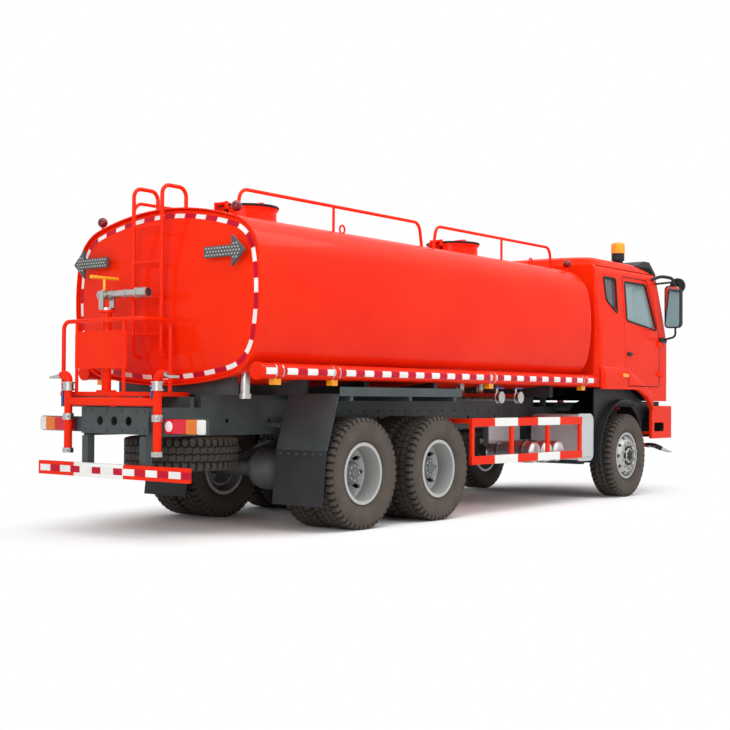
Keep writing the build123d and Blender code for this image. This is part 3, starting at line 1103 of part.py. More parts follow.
FLAP_LOW_Z = 1335.0
FLAP_HIGH_Z = CAB_BELT_Z - 75.0
FLAP_HINGE_X = CAB_FRONT_X + 14.0
FLAP_HINGE_Z = FLAP_HIGH_Z + 11.0
TILT_LUG = [(4430, CAB_SILL_Z), (4570, CAB_SILL_Z), (4545, 1125), (4455, 1125)]
cab_outer = cab_form(0.0)
with BuildPart() as cab_skin:
    add(cab_outer)
    add(cab_form(CAB_WALL), mode=Mode.SUBTRACT)
with BuildPart() as pane_skin:
    add(cab_form(PANE_IN))
    add(cab_form(PANE_IN + PANE_THICK), mode=Mode.SUBTRACT)

# Roof panel above the gutter seam
with BuildPart() as cab_roof:
    add(cab_skin.part)
    block(CUT_REAR_X, CUT_FRONT_X, -SIDE_OUT_Y, SIDE_OUT_Y, ROOF_SEAM_Z, CUT_TOP_Z, mode=Mode.INTERSECT)
cab_roof.part.label = "cab_roof"
export_step(cab_roof.part, "parts/cab_roof.step")

# Side panels behind the doors with the quarter windows, and the arch flares
with BuildPart() as cab_sides:
    for s in (-1, 1):
        block(CUT_REAR_X, DOOR_REAR_X - DOOR_GAP, s * SIDE_IN_Y, s * SIDE_OUT_Y, CAB_FLOOR_Z - 10, ROOF_SEAM_Z)
    add(cab_skin.part, mode=Mode.INTERSECT)
    for s in (-1, 1):
        outline(QUARTER_WINDOW, s * WINDOW_CUT_Y, s * SIDE_OUT_Y, corner=WINDOW_CORNER_R, mode=Mode.SUBTRACT)
        outline(ARCH_FLARE, s * CAB_HALF_W, s * (CAB_HALF_W + ARCH_FLARE_PROUD), corner=ARCH_FLARE_CORNER_R)
cab_sides.part.label = "cab_sides"
export_step(cab_sides.part, "parts/cab_sides.step")

# Cab body: floor, rear wall, front corners, pillars and cowl
with BuildPart() as cab_body:
    add(cab_skin.part)
    block(CUT_REAR_X, CUT_FRONT_X, -SIDE_OUT_Y, SIDE_OUT_Y, ROOF_SEAM_Z, CUT_TOP_Z, mode=Mode.SUBTRACT)
    for s in (-1, 1):
        block(CUT_REAR_X, DOOR_REAR_X - DOOR_GAP, s * SIDE_IN_Y, s * SIDE_OUT_Y, CAB_FLOOR_Z - 10, ROOF_SEAM_Z + 1,
              mode=Mode.SUBTRACT)
        outline(DOOR_OUTLINE, s * DOOR_CUT_Y, s * SIDE_OUT_Y, DOOR_GAP, DOOR_CORNER_R, mode=Mode.SUBTRACT)
    block(SCREEN_CUT_X, CUT_FRONT_X, -SCREEN_HALF_W, SCREEN_HALF_W, SCREEN_LOW_Z, SCREEN_HIGH_Z, mode=Mode.SUBTRACT)
    block(FLAP_CUT_X, CUT_FRONT_X, -FLAP_HALF_W - DOOR_GAP, FLAP_HALF_W + DOOR_GAP, FLAP_LOW_Z - DOOR_GAP,
          FLAP_HIGH_Z + DOOR_GAP, mode=Mode.SUBTRACT)
    for s in (-1, 1):
        outline(TILT_LUG, s * TILT_LUG_Y, s * (TILT_LUG_Y + TILT_LUG_THICK))
        rod((TILT_X, s * (TILT_LUG_Y - TILT_LUG_THICK), TILT_Z), (TILT_X, s * (TILT_LUG_Y + 2 * TILT_LUG_THICK), TILT_Z),
            TILT_BORE_R, mode=Mode.SUBTRACT)
cab_body.part.label = "cab_body"
export_step(cab_body.part, "parts/cab_body.step")

# Windscreen and quarter panes
with BuildPart() as cab_glass:
    block(SCREEN_CUT_X, CUT_FRONT_X, -SCREEN_HALF_W, SCREEN_HALF_W, SCREEN_LOW_Z, SCREEN_HIGH_Z)
    for s in (-1, 1):
        outline(QUARTER_WINDOW, s * WINDOW_CUT_Y, s * SIDE_OUT_Y, -PANE_FIT, WINDOW_CORNER_R)
    add(pane_skin.part, mode=Mode.INTERSECT)
cab_glass.part.label = "cab_glass"
export_step(cab_glass.part, "parts/cab_glass.step")

# Doors with their panes
for side, s in (("left", 1), ("right", -1)):
    with BuildPart() as door:
        outline(DOOR_OUTLINE, s * DOOR_CUT_Y, s * SIDE_OUT_Y, corner=DOOR_CORNER_R)
        add(cab_skin.part, mode=Mode.INTERSECT)
        outline(DOOR_WINDOW, s * WINDOW_CUT_Y, s * SIDE_OUT_Y, corner=WINDOW_CORNER_R, mode=Mode.SUBTRACT)
        for z in HINGE_Z:
            leaf_z = (z + HINGE_LEAF_END, z + HINGE_LEN - HINGE_LEAF_END)
            rod((HINGE_X, s * HINGE_Y, z), (HINGE_X, s * HINGE_Y, z + HINGE_LEN), HINGE_R)
            block(HINGE_X - 70, DOOR_FRONT_X, s * (CAB_HALF_W - 2), s * (HINGE_Y + 4), *leaf_z)
            block(DOOR_FRONT_X - 5, HINGE_X, s * (HINGE_Y - HINGE_R), s * (HINGE_Y + 4), *leaf_z)
    door.part.label = "door_" + side
    export_step(door.part, "parts/door_" + side + ".step")
    with BuildPart() as door_glass:
        outline(DOOR_WINDOW, s * WINDOW_CUT_Y, s * SIDE_OUT_Y, -PANE_FIT, WINDOW_CORNER_R)
        add(pane_skin.part, mode=Mode.INTERSECT)
    door_glass.part.label = "door_glass_" + side
    export_step(door_glass.part, "parts/door_glass_" + side + ".step")

# Front flap with the grille slots, hinged along its top
GRILLE_Z = [1447.5, 1557.5, 1667.5, 1777.5]
GRILLE_HALF_W = FLAP_HALF_W - 225.0
GRILLE_H = 55.0
GRILLE_END_R = 20.0
FLAP_PIN_Y = 700.0
FLAP_PIN_HALF_LEN = 60.0
FLAP_PIN_R = 8.0
FLAP_LEAF_HALF_W = 50.0
FLAP_LEAF_H = 40.0
with BuildPart() as front_flap:
    block(FLAP_CUT_X, CUT_FRONT_X, -FLAP_HALF_W, FLAP_HALF_W, FLAP_LOW_Z, FLAP_HIGH_Z)
    add(cab_skin.part, mode=Mode.INTERSECT)
    for z in GRILLE_Z:
        pad_x(FLAP_CUT_X, CUT_FRONT_X, 0, z, 2 * GRILLE_HALF_W, GRILLE_H, GRILLE_END_R, mode=Mode.SUBTRACT)
    for y in (-FLAP_PIN_Y, FLAP_PIN_Y):
        rod((FLAP_HINGE_X, y - FLAP_PIN_HALF_LEN, FLAP_HINGE_Z), (FLAP_HINGE_X, y + FLAP_PIN_HALF_LEN, FLAP_HINGE_Z),
            FLAP_PIN_R)
        block(CAB_FRONT_X - 3, FLAP_HINGE_X + 6, y - FLAP_LEAF_HALF_W, y + FLAP_LEAF_HALF_W, FLAP_HIGH_Z - FLAP_LEAF_H,
              FLAP_HIGH_Z)
        block(FLAP_HINGE_X - 7, FLAP_HINGE_X + 6, y - FLAP_LEAF_HALF_W, y + FLAP_LEAF_HALF_W, FLAP_HIGH_Z - 5, FLAP_HINGE_Z)
front_flap.part.label = "front_flap"
export_step(front_flap.part, "parts/front_flap.step")

# Dashboard, steering column and wheel
DASH_SECTION = [(4545, 1700), (4545, 2060), (4420, 2100), (4180, 2060), (4110, 1900), (4200, 1700)]
DASH_HALF_W = CAB_HALF_W - 80.0
STEER_Y = 550.0
STEER_CENTRE = (3900.0, STEER_Y, 2128.0)
STEER_NORMAL = (-0.775, 0.0, 0.632)
STEER_RIM_R = 215.0
STEER_GRIP_R = 15.0
STEER_HUB_R = 70.0
STEER_HUB_THICK = 26.0
STEER_SPOKE_W = 30.0
STEER_SPOKE_THICK = 16.0
COLUMN_R = 30.0
with BuildPart() as dashboard:
    outline(DASH_SECTION, -DASH_HALF_W, DASH_HALF_W)
    rod((4180, STEER_Y, 1900), (3910, STEER_Y, 2120), COLUMN_R)
    with Locations(Plane(origin=STEER_CENTRE, z_dir=STEER_NORMAL)):
        Torus(STEER_RIM_R, STEER_GRIP_R)
        Cylinder(STEER_HUB_R, STEER_HUB_THICK)
        Box(2 * STEER_RIM_R, STEER_SPOKE_W, STEER_SPOKE_THICK)
    add(cab_body.part, mode=Mode.SUBTRACT)
dashboard.part.label = "dashboard"
export_step(dashboard.part, "parts/dashboard.step")

# Two seats
SEAT_BASE_X = (2960.0, 3420.0)
SEAT_BASE_Y = (330.0, 770.0)
SEAT_CUSHION_X = (2900.0, 3460.0)
SEAT_CUSHION_Y = (290.0, 810.0)
SEAT_CUSHION_Z = (1690.0, 1850.0)
SEAT_BACK = [(2900, 1850), (3040, 1850), (2900, 2560), (2790, 2560)]
SEAT_BACK_Y = (300.0, 800.0)
with BuildPart() as seats:
    for s in (-1, 1):
        block(*SEAT_BASE_X, s * SEAT_BASE_Y[0], s * SEAT_BASE_Y[1], CAB_FLOOR_Z + CAB_WALL, SEAT_CUSHION_Z[0])
        block(*SEAT_CUSHION_X, s * SEAT_CUSHION_Y[0], s * SEAT_CUSHION_Y[1], *SEAT_CUSHION_Z)
        outline(SEAT_BACK, s * SEAT_BACK_Y[0], s * SEAT_BACK_Y[1])
seats.part.label = "seats"
export_step(seats.part, "parts/seats.step")

# Mirrors on their arms, the sun visor and the beacon's foot
MIRROR_X = 4268.0
MIRROR_THICK = 60.0
MIRROR_MID_Y = CAB_HALF_W + 165.0
MIRROR_W = 230.0
MIRROR_LOW_Z = 2250.0
MIRROR_TOP_Z = CAB_ROOF_Z - 245.0
MIRROR_CORNER_R = 55.0
MIRROR_ARM_R = 14.0
MIRROR_ARM_BEND = 60.0
MIRROR_ARM_X = MIRROR_X + 16.0
MIRROR_ARM_Y = CAB_HALF_W + 200.0
ROUND_MIRROR_X = (MIRROR_X + 70.0, MIRROR_X + 105.0)
ROUND_MIRROR_R = 105.0
ROUND_MIRROR_ARM_R = 12.0
VISOR = [(4150, CAB_BROW_Z + 105), (4150, CAB_BROW_Z + 80), (4440, CAB_BROW_Z - 43), (4452, CAB_BROW_Z - 29)]
VISOR_HALF_W = CAB_HALF_W - 160.0
BEACON_X = 3780.0
BEACON_Y = 400.0 - CAB_HALF_W
BEACON_FOOT_HALF_W = 50.0
BEACON_FOOT_Z = (CAB_ROOF_Z - 115.0, CAB_ROOF_Z + 90.0)
BEACON_BASE_R = 86.0
BEACON_LENS_Z = CAB_ROOF_Z + 185.0
BEACON_TOP_Z = CAB_ROOF_Z + 335.0
BEACON_R = 92.0
BEACON_EDGE = 24.0
with BuildPart() as cab_trim:
    for s in (-1, 1):
        y = s * MIRROR_ARM_Y
        bent([(4180, s * (CAB_HALF_W - 150), MIRROR_TOP_Z + 20), (MIRROR_ARM_X, y, MIRROR_TOP_Z + 50), (MIRROR_ARM_X, y, 2130),
              (4330, s * (CAB_HALF_W - 50), 2080)], MIRROR_ARM_R, MIRROR_ARM_BEND)
        pad_x(MIRROR_X, MIRROR_X + MIRROR_THICK, s * MIRROR_MID_Y, (MIRROR_LOW_Z + MIRROR_TOP_Z) / 2, MIRROR_W,
              MIRROR_TOP_Z - MIRROR_LOW_Z, MIRROR_CORNER_R)
        rod((ROUND_MIRROR_X[0], y, MIRROR_TOP_Z), (ROUND_MIRROR_X[1], y, MIRROR_TOP_Z), ROUND_MIRROR_R)
        rod((MIRROR_ARM_X, y, MIRROR_TOP_Z + 30), (ROUND_MIRROR_X[0] + 10, y, MIRROR_TOP_Z + 10), ROUND_MIRROR_ARM_R)
    outline(VISOR, -VISOR_HALF_W, VISOR_HALF_W)
    block(BEACON_X - BEACON_FOOT_HALF_W, BEACON_X + BEACON_FOOT_HALF_W, BEACON_Y - BEACON_FOOT_HALF_W,
          BEACON_Y + BEACON_FOOT_HALF_W, *BEACON_FOOT_Z)
    rod((BEACON_X, BEACON_Y, BEACON_FOOT_Z[1]), (BEACON_X, BEACON_Y, BEACON_LENS_Z), BEACON_BASE_R)
    add(cab_outer, mode=Mode.SUBTRACT)
cab_trim.part.label = "cab_trim"
export_step(cab_trim.part, "parts/cab_trim.step")

with BuildPart() as beacon:
    rod((BEACON_X, BEACON_Y, BEACON_LENS_Z), (BEACON_X, BEACON_Y, BEACON_TOP_Z), BEACON_R)
    fillet(beacon.edges().group_by(Axis.Z)[-1], BEACON_EDGE)
beacon.part.label = "beacon"
export_step(beacon.part, "parts/beacon.step")

# Crowned manhole lids with hinge arms
LID_ARM_HALF_W = 50.0
LID_ARM_Z = (COLLAR_TOP_Z + 10.0, COLLAR_TOP_Z + 36.0)
for name, x in (("rear", REAR_MANHOLE_X), ("front", FRONT_MANHOLE_X)):
    with BuildPart() as lid:
        hinge_x = x - LID_HINGE_BACK
        with BuildSketch(Plane(origin=(x, 0, COLLAR_TOP_Z), x_dir=(1, 0, 0), z_dir=(0, -1, 0))):
            with BuildLine():
                Polyline((0, LID_CROWN), (0, SEAT_GAP), (LID_R, SEAT_GAP), (LID_R, LID_EDGE))
                ThreePointArc((LID_R, LID_EDGE), (0.55 * LID_R, 0.3 * LID_EDGE + 0.7 * LID_CROWN), (0, LID_CROWN))
            make_face()
        revolve(axis=Axis((x, 0, 0), (0, 0, 1)))
        block(hinge_x, x - LID_R + 30, -LID_ARM_HALF_W, LID_ARM_HALF_W, *LID_ARM_Z)
        rod((hinge_x, SEAT_GAP - LID_LUG_Y, LID_PIN_Z), (hinge_x, LID_LUG_Y - SEAT_GAP, LID_PIN_Z), LID_PIN_R)
    lid.part.label = "manhole_lid_" + name
    export_step(lid.part, "parts/manhole_lid_" + name + ".step")

# Water cannon: swivel with two ears, barrel with a tee handle
SWIVEL_R = 70.0
SWIVEL_THICK = 22.0
EAR_X = (56.0, 76.0)
EAR_R = 32.0
TRUNNION_SLEEVE_R = 44.0
BARREL_R = 36.0
BARREL_BACK = 95.0
MUZZLE_R = 48.0
MUZZLE_START = 430.0
MUZZLE_END = 560.0
MUZZLE_BORE_R = 34.0
MUZZLE_BORE_LEN = 90.0
TEE_BACK = 40.0
TEE_UP = 160.0
TEE_STEM_R = 12.0
TEE_R = 13.0
TEE_HALF_LEN = 170.0
with BuildPart() as monitor_swivel:
    rod((MONITOR_X, MONITOR_Y, MONITOR_BASE_Z + SEAT_GAP), (MONITOR_X, MONITOR_Y, MONITOR_BASE_Z + SWIVEL_THICK), SWIVEL_R)
    for s in (-1, 1):
        near = MONITOR_X + s * EAR_X[0]
        far = MONITOR_X + s * EAR_X[1]
        block(near, far, MONITOR_Y - EAR_R, MONITOR_Y + EAR_R, MONITOR_BASE_Z + SWIVEL_THICK / 2, MONITOR_AXIS_Z)
        rod((near, MONITOR_Y, MONITOR_AXIS_Z), (far, MONITOR_Y, MONITOR_AXIS_Z), EAR_R)
    block(MONITOR_X - EAR_X[1], MONITOR_X + EAR_X[1], MONITOR_Y - EAR_R, MONITOR_Y + EAR_R,
          MONITOR_BASE_Z + SWIVEL_THICK / 2, MONITOR_BASE_Z + SWIVEL_THICK)
monitor_swivel.part.label = "monitor_swivel"
export_step(monitor_swivel.part, "parts/monitor_swivel.step")

with BuildPart() as monitor_barrel:
    sleeve = EAR_X[0] - SEAT_GAP
    muzzle_y = MONITOR_Y - MUZZLE_END
    tee_y = MONITOR_Y + TEE_BACK
    tee_z = MONITOR_AXIS_Z + TEE_UP
    rod((MONITOR_X - sleeve, MONITOR_Y, MONITOR_AXIS_Z), (MONITOR_X + sleeve, MONITOR_Y, MONITOR_AXIS_Z), TRUNNION_SLEEVE_R)
    rod((MONITOR_X, MONITOR_Y + BARREL_BACK, MONITOR_AXIS_Z), (MONITOR_X, MONITOR_Y - MUZZLE_START - 40, MONITOR_AXIS_Z),
        BARREL_R)
    rod((MONITOR_X, MONITOR_Y - MUZZLE_START, MONITOR_AXIS_Z), (MONITOR_X, muzzle_y, MONITOR_AXIS_Z), MUZZLE_R)
    rod((MONITOR_X, muzzle_y + MUZZLE_BORE_LEN, MONITOR_AXIS_Z), (MONITOR_X, muzzle_y - 1, MONITOR_AXIS_Z), MUZZLE_BORE_R,
        mode=Mode.SUBTRACT)
    rod((MONITOR_X, tee_y, MONITOR_AXIS_Z), (MONITOR_X, tee_y, tee_z), TEE_STEM_R)
    rod((MONITOR_X - TEE_HALF_LEN, tee_y, tee_z), (MONITOR_X + TEE_HALF_LEN, tee_y, tee_z), TEE_R)
monitor_barrel.part.label = "monitor_barrel"
export_step(monitor_barrel.part, "parts/monitor_barrel.step")

# Steering knuckles: forked round the beam eye, with the wheel spindle
JAW_R = 48.0
JAW_END_Y = 955.0
SPINDLE_ROOT_Y = 940.0
FRONT_SPINDLE_END_Y = 1195.0
for side, s in (("left", 1), ("right", -1)):
    with BuildPart() as knuckle:
        y = s * KINGPIN_Y
        jaw_low = AXLE_EYE_LOW_Z - KNUCKLE_JAW
        jaw_high = AXLE_EYE_HIGH_Z + KNUCKLE_JAW
        wheel_back = FRONT_WHEEL_Y - FRONT_HUB_BACK - SEAT_GAP
        rod((FRONT_AXLE_X, y, jaw_low), (FRONT_AXLE_X, y, jaw_high), KINGPIN_R)
        for z in (jaw_low, AXLE_EYE_HIGH_Z):
            rod((FRONT_AXLE_X, y, z), (FRONT_AXLE_X, y, z + KNUCKLE_JAW), JAW_R)
            block(FRONT_AXLE_X - KNUCKLE_HALF_W, FRONT_AXLE_X + KNUCKLE_HALF_W, y, s * JAW_END_Y, z, z + KNUCKLE_JAW)
        block(FRONT_AXLE_X - KNUCKLE_HALF_W, FRONT_AXLE_X + KNUCKLE_HALF_W, s * KNUCKLE_WALL_Y,
              s * (KNUCKLE_WALL_Y + KNUCKLE_WALL), jaw_low, jaw_high)
        rod((FRONT_AXLE_X, s * SPINDLE_ROOT_Y, TYRE_R), (FRONT_AXLE_X, s * FRONT_SPINDLE_END_Y, TYRE_R), SPINDLE_R)
        rod((FRONT_AXLE_X, s * SPINDLE_ROOT_Y, TYRE_R), (FRONT_AXLE_X, s * wheel_back, TYRE_R), THRUST_COLLAR_R)
    knuckle.part.label = "knuckle_" + side
    export_step(knuckle.part, "parts/knuckle_" + side + ".step")

# Wheels: single in front, twin on the two driven axles
WHEELS = [
    # name, axle x, twin
    ("front", FRONT_AXLE_X, False),
    ("mid", MID_AXLE_X, True),
    ("rear", REAR_AXLE_X, True),
]
TWIN_HUB = [(HUB_BORE_R, -TWIN_HUB_BACK), (TWIN_HUB_R, -TWIN_HUB_BACK), (TWIN_HUB_R, TWIN_HUB_FACE - HUB_EDGE),
            (TWIN_HUB_R - HUB_EDGE, TWIN_HUB_FACE), (0, TWIN_HUB_FACE), (0, TWIN_HUB_BORE_END),
            (HUB_BORE_R, TWIN_HUB_BORE_END)]
FRONT_HUB = [(HUB_BORE_R, -FRONT_HUB_BACK), (FRONT_HUB_R, -FRONT_HUB_BACK), (FRONT_HUB_R, FRONT_HUB_FACE - HUB_EDGE / 2),
             (FRONT_HUB_R - HUB_EDGE / 2, FRONT_HUB_FACE), (0, FRONT_HUB_FACE), (0, FRONT_HUB_BORE_END),
             (HUB_BORE_R, FRONT_HUB_BORE_END)]
TWIN_DRUM = [(TWIN_HUB_R - 10, -30), (DRUM_R, -30), (DRUM_R, -250), (DRUM_R - DRUM_WALL, -250),
             (DRUM_R - DRUM_WALL, -30 - DRUM_WALL), (TWIN_HUB_R - 10, -30 - DRUM_WALL)]
FRONT_DRUM = [(FRONT_HUB_R - 10, -75), (DRUM_R, -75), (DRUM_R, 60), (DRUM_R - DRUM_WALL, 60),
              (DRUM_R - DRUM_WALL, DRUM_WALL - 75), (FRONT_HUB_R - 10, DRUM_WALL - 75)]
TWIN_HOLE_REACH = 130.0
FRONT_HOLE_REACH = 60.0
FRONT_HOLE_OUT = 110.0
for name, x, twin in WHEELS:
    for side, s in (("left", 1), ("right", -1)):
        centre = TWIN_MID_Y if twin else FRONT_WHEEL_Y
        with BuildPart() as tyre:
            if twin:
                turned(tyre_profile(s * (centre + TWIN_OFFSET)), x, TYRE_R)
                turned(tyre_profile(s * (centre - TWIN_OFFSET)), x, TYRE_R)
            else:
                turned(tyre_profile(s * centre), x, TYRE_R)
        tyre.part.label = "tyre_" + name + "_" + side
        export_step(tyre.part, "parts/tyre_" + name + "_" + side + ".step")
        with BuildPart() as rim:
            if twin:
                turned(rim_profile(s * (centre + TWIN_OFFSET), -s, TWIN_OFFSET - DISC_THICK), x, TYRE_R)
                turned(rim_profile(s * (centre - TWIN_OFFSET), s, TWIN_OFFSET - DISC_THICK), x, TYRE_R)
            else:
                turned(rim_profile(s * centre, s, FRONT_DISC_W), x, TYRE_R)
            for profile in (TWIN_HUB, TWIN_DRUM) if twin else (FRONT_HUB, FRONT_DRUM):
                turned([(r, s * (centre + w)) for r, w in profile], x, TYRE_R)
            reach = TWIN_HOLE_REACH if twin else FRONT_HOLE_REACH
            mid_y = s * centre if twin else s * (centre + FRONT_HOLE_OUT)
            for k in range(HAND_HOLES):
                a = 2 * math.pi * k / HAND_HOLES
                hx = x + HAND_HOLE_RING_R * math.cos(a)
                hz = TYRE_R + HAND_HOLE_RING_R * math.sin(a)
                rod((hx, mid_y - reach, hz), (hx, mid_y + reach, hz), HAND_HOLE_R, mode=Mode.SUBTRACT)
        rim.part.label = "rim_" + name + "_" + side
        export_step(rim.part, "parts/rim_" + name + "_" + side + ".step")
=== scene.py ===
# %% [markdown]
# # A water tanker truck, dressed
# The truck arrives as a packed set of CAD nodes, in metres, with +X towards the cab, +Y to its left and the
# floor at z = 0. This lesson gives each node its finish, and adds the pieces that a CAD model leaves out:
# tread, tape, lamps, seals, nuts and cushions. Nothing of the CAD is moved.

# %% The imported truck
import json
import math

import bmesh
import bpy
import numpy as np
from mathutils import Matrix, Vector


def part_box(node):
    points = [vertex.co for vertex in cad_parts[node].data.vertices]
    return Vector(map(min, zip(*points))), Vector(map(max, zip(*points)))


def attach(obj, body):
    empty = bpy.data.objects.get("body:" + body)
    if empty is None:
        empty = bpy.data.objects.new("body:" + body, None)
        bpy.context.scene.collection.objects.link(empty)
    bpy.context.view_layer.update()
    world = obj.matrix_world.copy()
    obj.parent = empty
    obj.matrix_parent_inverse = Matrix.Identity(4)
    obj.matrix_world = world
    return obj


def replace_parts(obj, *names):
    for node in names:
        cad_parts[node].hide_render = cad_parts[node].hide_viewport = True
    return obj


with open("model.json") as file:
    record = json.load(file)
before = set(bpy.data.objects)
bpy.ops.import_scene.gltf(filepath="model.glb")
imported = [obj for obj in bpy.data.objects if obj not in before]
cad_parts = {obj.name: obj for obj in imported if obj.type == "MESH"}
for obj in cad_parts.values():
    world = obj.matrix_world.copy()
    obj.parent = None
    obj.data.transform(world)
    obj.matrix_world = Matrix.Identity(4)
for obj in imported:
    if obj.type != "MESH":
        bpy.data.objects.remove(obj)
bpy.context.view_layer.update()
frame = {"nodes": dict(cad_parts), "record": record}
nodes = frame["nodes"]

# %% [markdown]
# ## Colours and nodes
# A colour is written as the sRGB value that the eye sees, and Blender's shaders want it linear, so one
# function turns it. Every material is a small tree of nodes, and one function adds a node with its settings
# and its links: a socket is given a number, or the output of another node.

# %% Colour and node helpers
def paint(code, alpha=1.0):
    """sRGB hex to linear: c / 12.92 below 0.04045, and ((c + 0.055) / 1.055) ** 2.4 above."""
    srgb = np.array([int(code[k:k + 2], 16) for k in (1, 3, 5)]) / 255
    linear = np.where(srgb <= 0.04045, srgb / 12.92, ((srgb + 0.055) / 1.055) ** 2.4)
    return (*linear.tolist(), alpha)


def add_node(tree, kind, settings=(), **sockets):
    """One node with its settings; a socket's name has _ for a space, or is i and its number."""
    node = tree.nodes.new(kind)
    for key, value in dict(settings).items():
        setattr(node, key, value)
    for key, value in sockets.items():
        numbered = key[0] == "i" and key[1:].isdigit()
        socket = node.inputs[int(key[1:])] if numbered else node.inputs[key.replace("_", " ")]
        if isinstance(value, bpy.types.NodeSocket):
            tree.links.new(value, socket)
        else:
            socket.default_value = value
    return node


def new_material(name):
    """An empty material, its tree and its object coordinates in metres."""
    material = bpy.data.materials.new(name)
    material.use_nodes = True
    tree = material.node_tree
    tree.nodes.clear()
    place = add_node(tree, "ShaderNodeTexCoord").outputs["Object"]
    return material, tree, place


def close(tree, shader):
    """Joins a shader to the material's output."""
    add_node(tree, "ShaderNodeOutputMaterial", Surface=shader.outputs[0])


def waves_per_metre(millimetres):
    """A noise's scale for features of that size."""
    return 1000.0 / millimetres


def two_tone(tree, share, dark, light, low=0.0, high=1.0):
    """A ramp from one colour to another while the share goes from low to high."""
    ramp = add_node(tree, "ShaderNodeValToRGB", Fac=share)
    for stop, colour, place in zip(ramp.color_ramp.elements, (dark, light), (low, high)):
        stop.color, stop.position = colour, place
    return ramp.outputs["Color"]


# %% [markdown]
# ## Sprayed paint
# The body is sprayed with a glossy two-layer enamel: an orange-red coat under a clear one. The clear coat
# carries the sharp reflections, and a spray gun leaves it a little wavy, like orange peel. Real orange peel
# is about 8 mm wide, too fine to show here, so it is drawn at 60 mm. The coat under it varies a little in
# colour from pass to pass.

# %% Sprayed enamel
def sprayed(name, light, dark, roughness, coat, gloss=0.25, patch_mm=900.0, peel_mm=60.0, peel=0.02):
    """Two close colours by a soft noise, a rough base and a smooth clear coat over it."""
    material, tree, place = new_material(name)
    patch = add_node(tree, "ShaderNodeTexNoise", Vector=place, Scale=waves_per_metre(patch_mm), Detail=3.0)
    colour = two_tone(tree, patch.outputs["Fac"], paint(dark), paint(light), 0.35, 0.65)
    wavy = add_node(tree, "ShaderNodeTexNoise", Vector=place, Scale=waves_per_metre(peel_mm), Detail=1.0)
    bump = add_node(tree, "ShaderNodeBump", Height=wavy.outputs["Fac"], Strength=peel, Distance=0.01)
    shader = add_node(tree, "ShaderNodeBsdfPrincipled", Base_Color=colour, Roughness=roughness,
                      Specular_IOR_Level=gloss, Coat_Weight=coat, Coat_Roughness=0.05,
                      Normal=bump.outputs["Normal"])
    close(tree, shader)
    return material


RED = sprayed("sprayed_enamel_red", "#F22C06", "#EC2404", 0.42, 0.12, 0.06)
GREY = sprayed("chassis_enamel_grey", "#464D4F", "#3D4445", 0.5, 0.1, patch_mm=350.0)
WHITE = sprayed("sprayed_enamel_white", "#F4F4F2", "#ECECEA", 0.4, 0.4)
YELLOW = sprayed("sprayed_enamel_yellow", "#F2B62A", "#EAA81C", 0.4, 0.5)
BLUE = sprayed("dipped_vinyl_blue", "#2B5AB8", "#234CA4", 0.45, 0.3)
ENGINE = sprayed("cast_iron_painted", "#4E5254", "#404446", 0.6, 0.0, patch_mm=120.0)

# %% [markdown]
# ## Bare metal
# Rims are steel with a silver lacquer, couplings are polished stainless steel, and air tanks are rolled
# aluminium. Bare metal takes its colour from what it reflects; the lacquered and cast ones are metal to the
# shader only in part. Small differences in roughness, where hands and stones have rubbed, keep them from
# looking like one mirror.

# %% Metals
def metal(name, colour, low, high, patch_mm=90.0, metallic=1.0, brushed=None):
    """A metal whose roughness wanders from low to high; brushed stretches the pattern along one axis."""
    material, tree, place = new_material(name)
    stretch = add_node(tree, "ShaderNodeMapping", Vector=place, Scale=brushed or (1.0, 1.0, 1.0))
    rubbed = add_node(tree, "ShaderNodeTexNoise", Vector=stretch.outputs["Vector"], Detail=4.0,
                      Scale=waves_per_metre(patch_mm))
    rough = add_node(tree, "ShaderNodeMapRange", Value=rubbed.outputs["Fac"], To_Min=low, To_Max=high)
    bump = add_node(tree, "ShaderNodeBump", Height=rubbed.outputs["Fac"], Strength=0.03, Distance=0.01)
    shader = add_node(tree, "ShaderNodeBsdfPrincipled", Base_Color=paint(colour), Metallic=metallic,
                      Roughness=rough.outputs["Result"], Normal=bump.outputs["Normal"])
    close(tree, shader)
    return material


RIM = metal("silver_lacquered_steel", "#B9B9B7", 0.4, 0.55, metallic=0.5)
STEEL = metal("polished_stainless_steel", "#B4B4B1", 0.2, 0.36)
ALUMINIUM = metal("rolled_aluminium", "#CFD1D3", 0.3, 0.42, patch_mm=40.0, brushed=(1.0, 0.1, 1.0))
SHIELD = metal("aluminised_steel", "#CACDCF", 0.45, 0.55, metallic=0.35)
IRON = metal("cast_iron_hub", "#6A6E70", 0.5, 0.65, metallic=0.3)
CHROME = metal("chromed_reflector", "#E8EAEC", 0.05, 0.1)
MIRROR = metal("silvered_mirror_glass", "#DDE2E4", 0.01, 0.02)
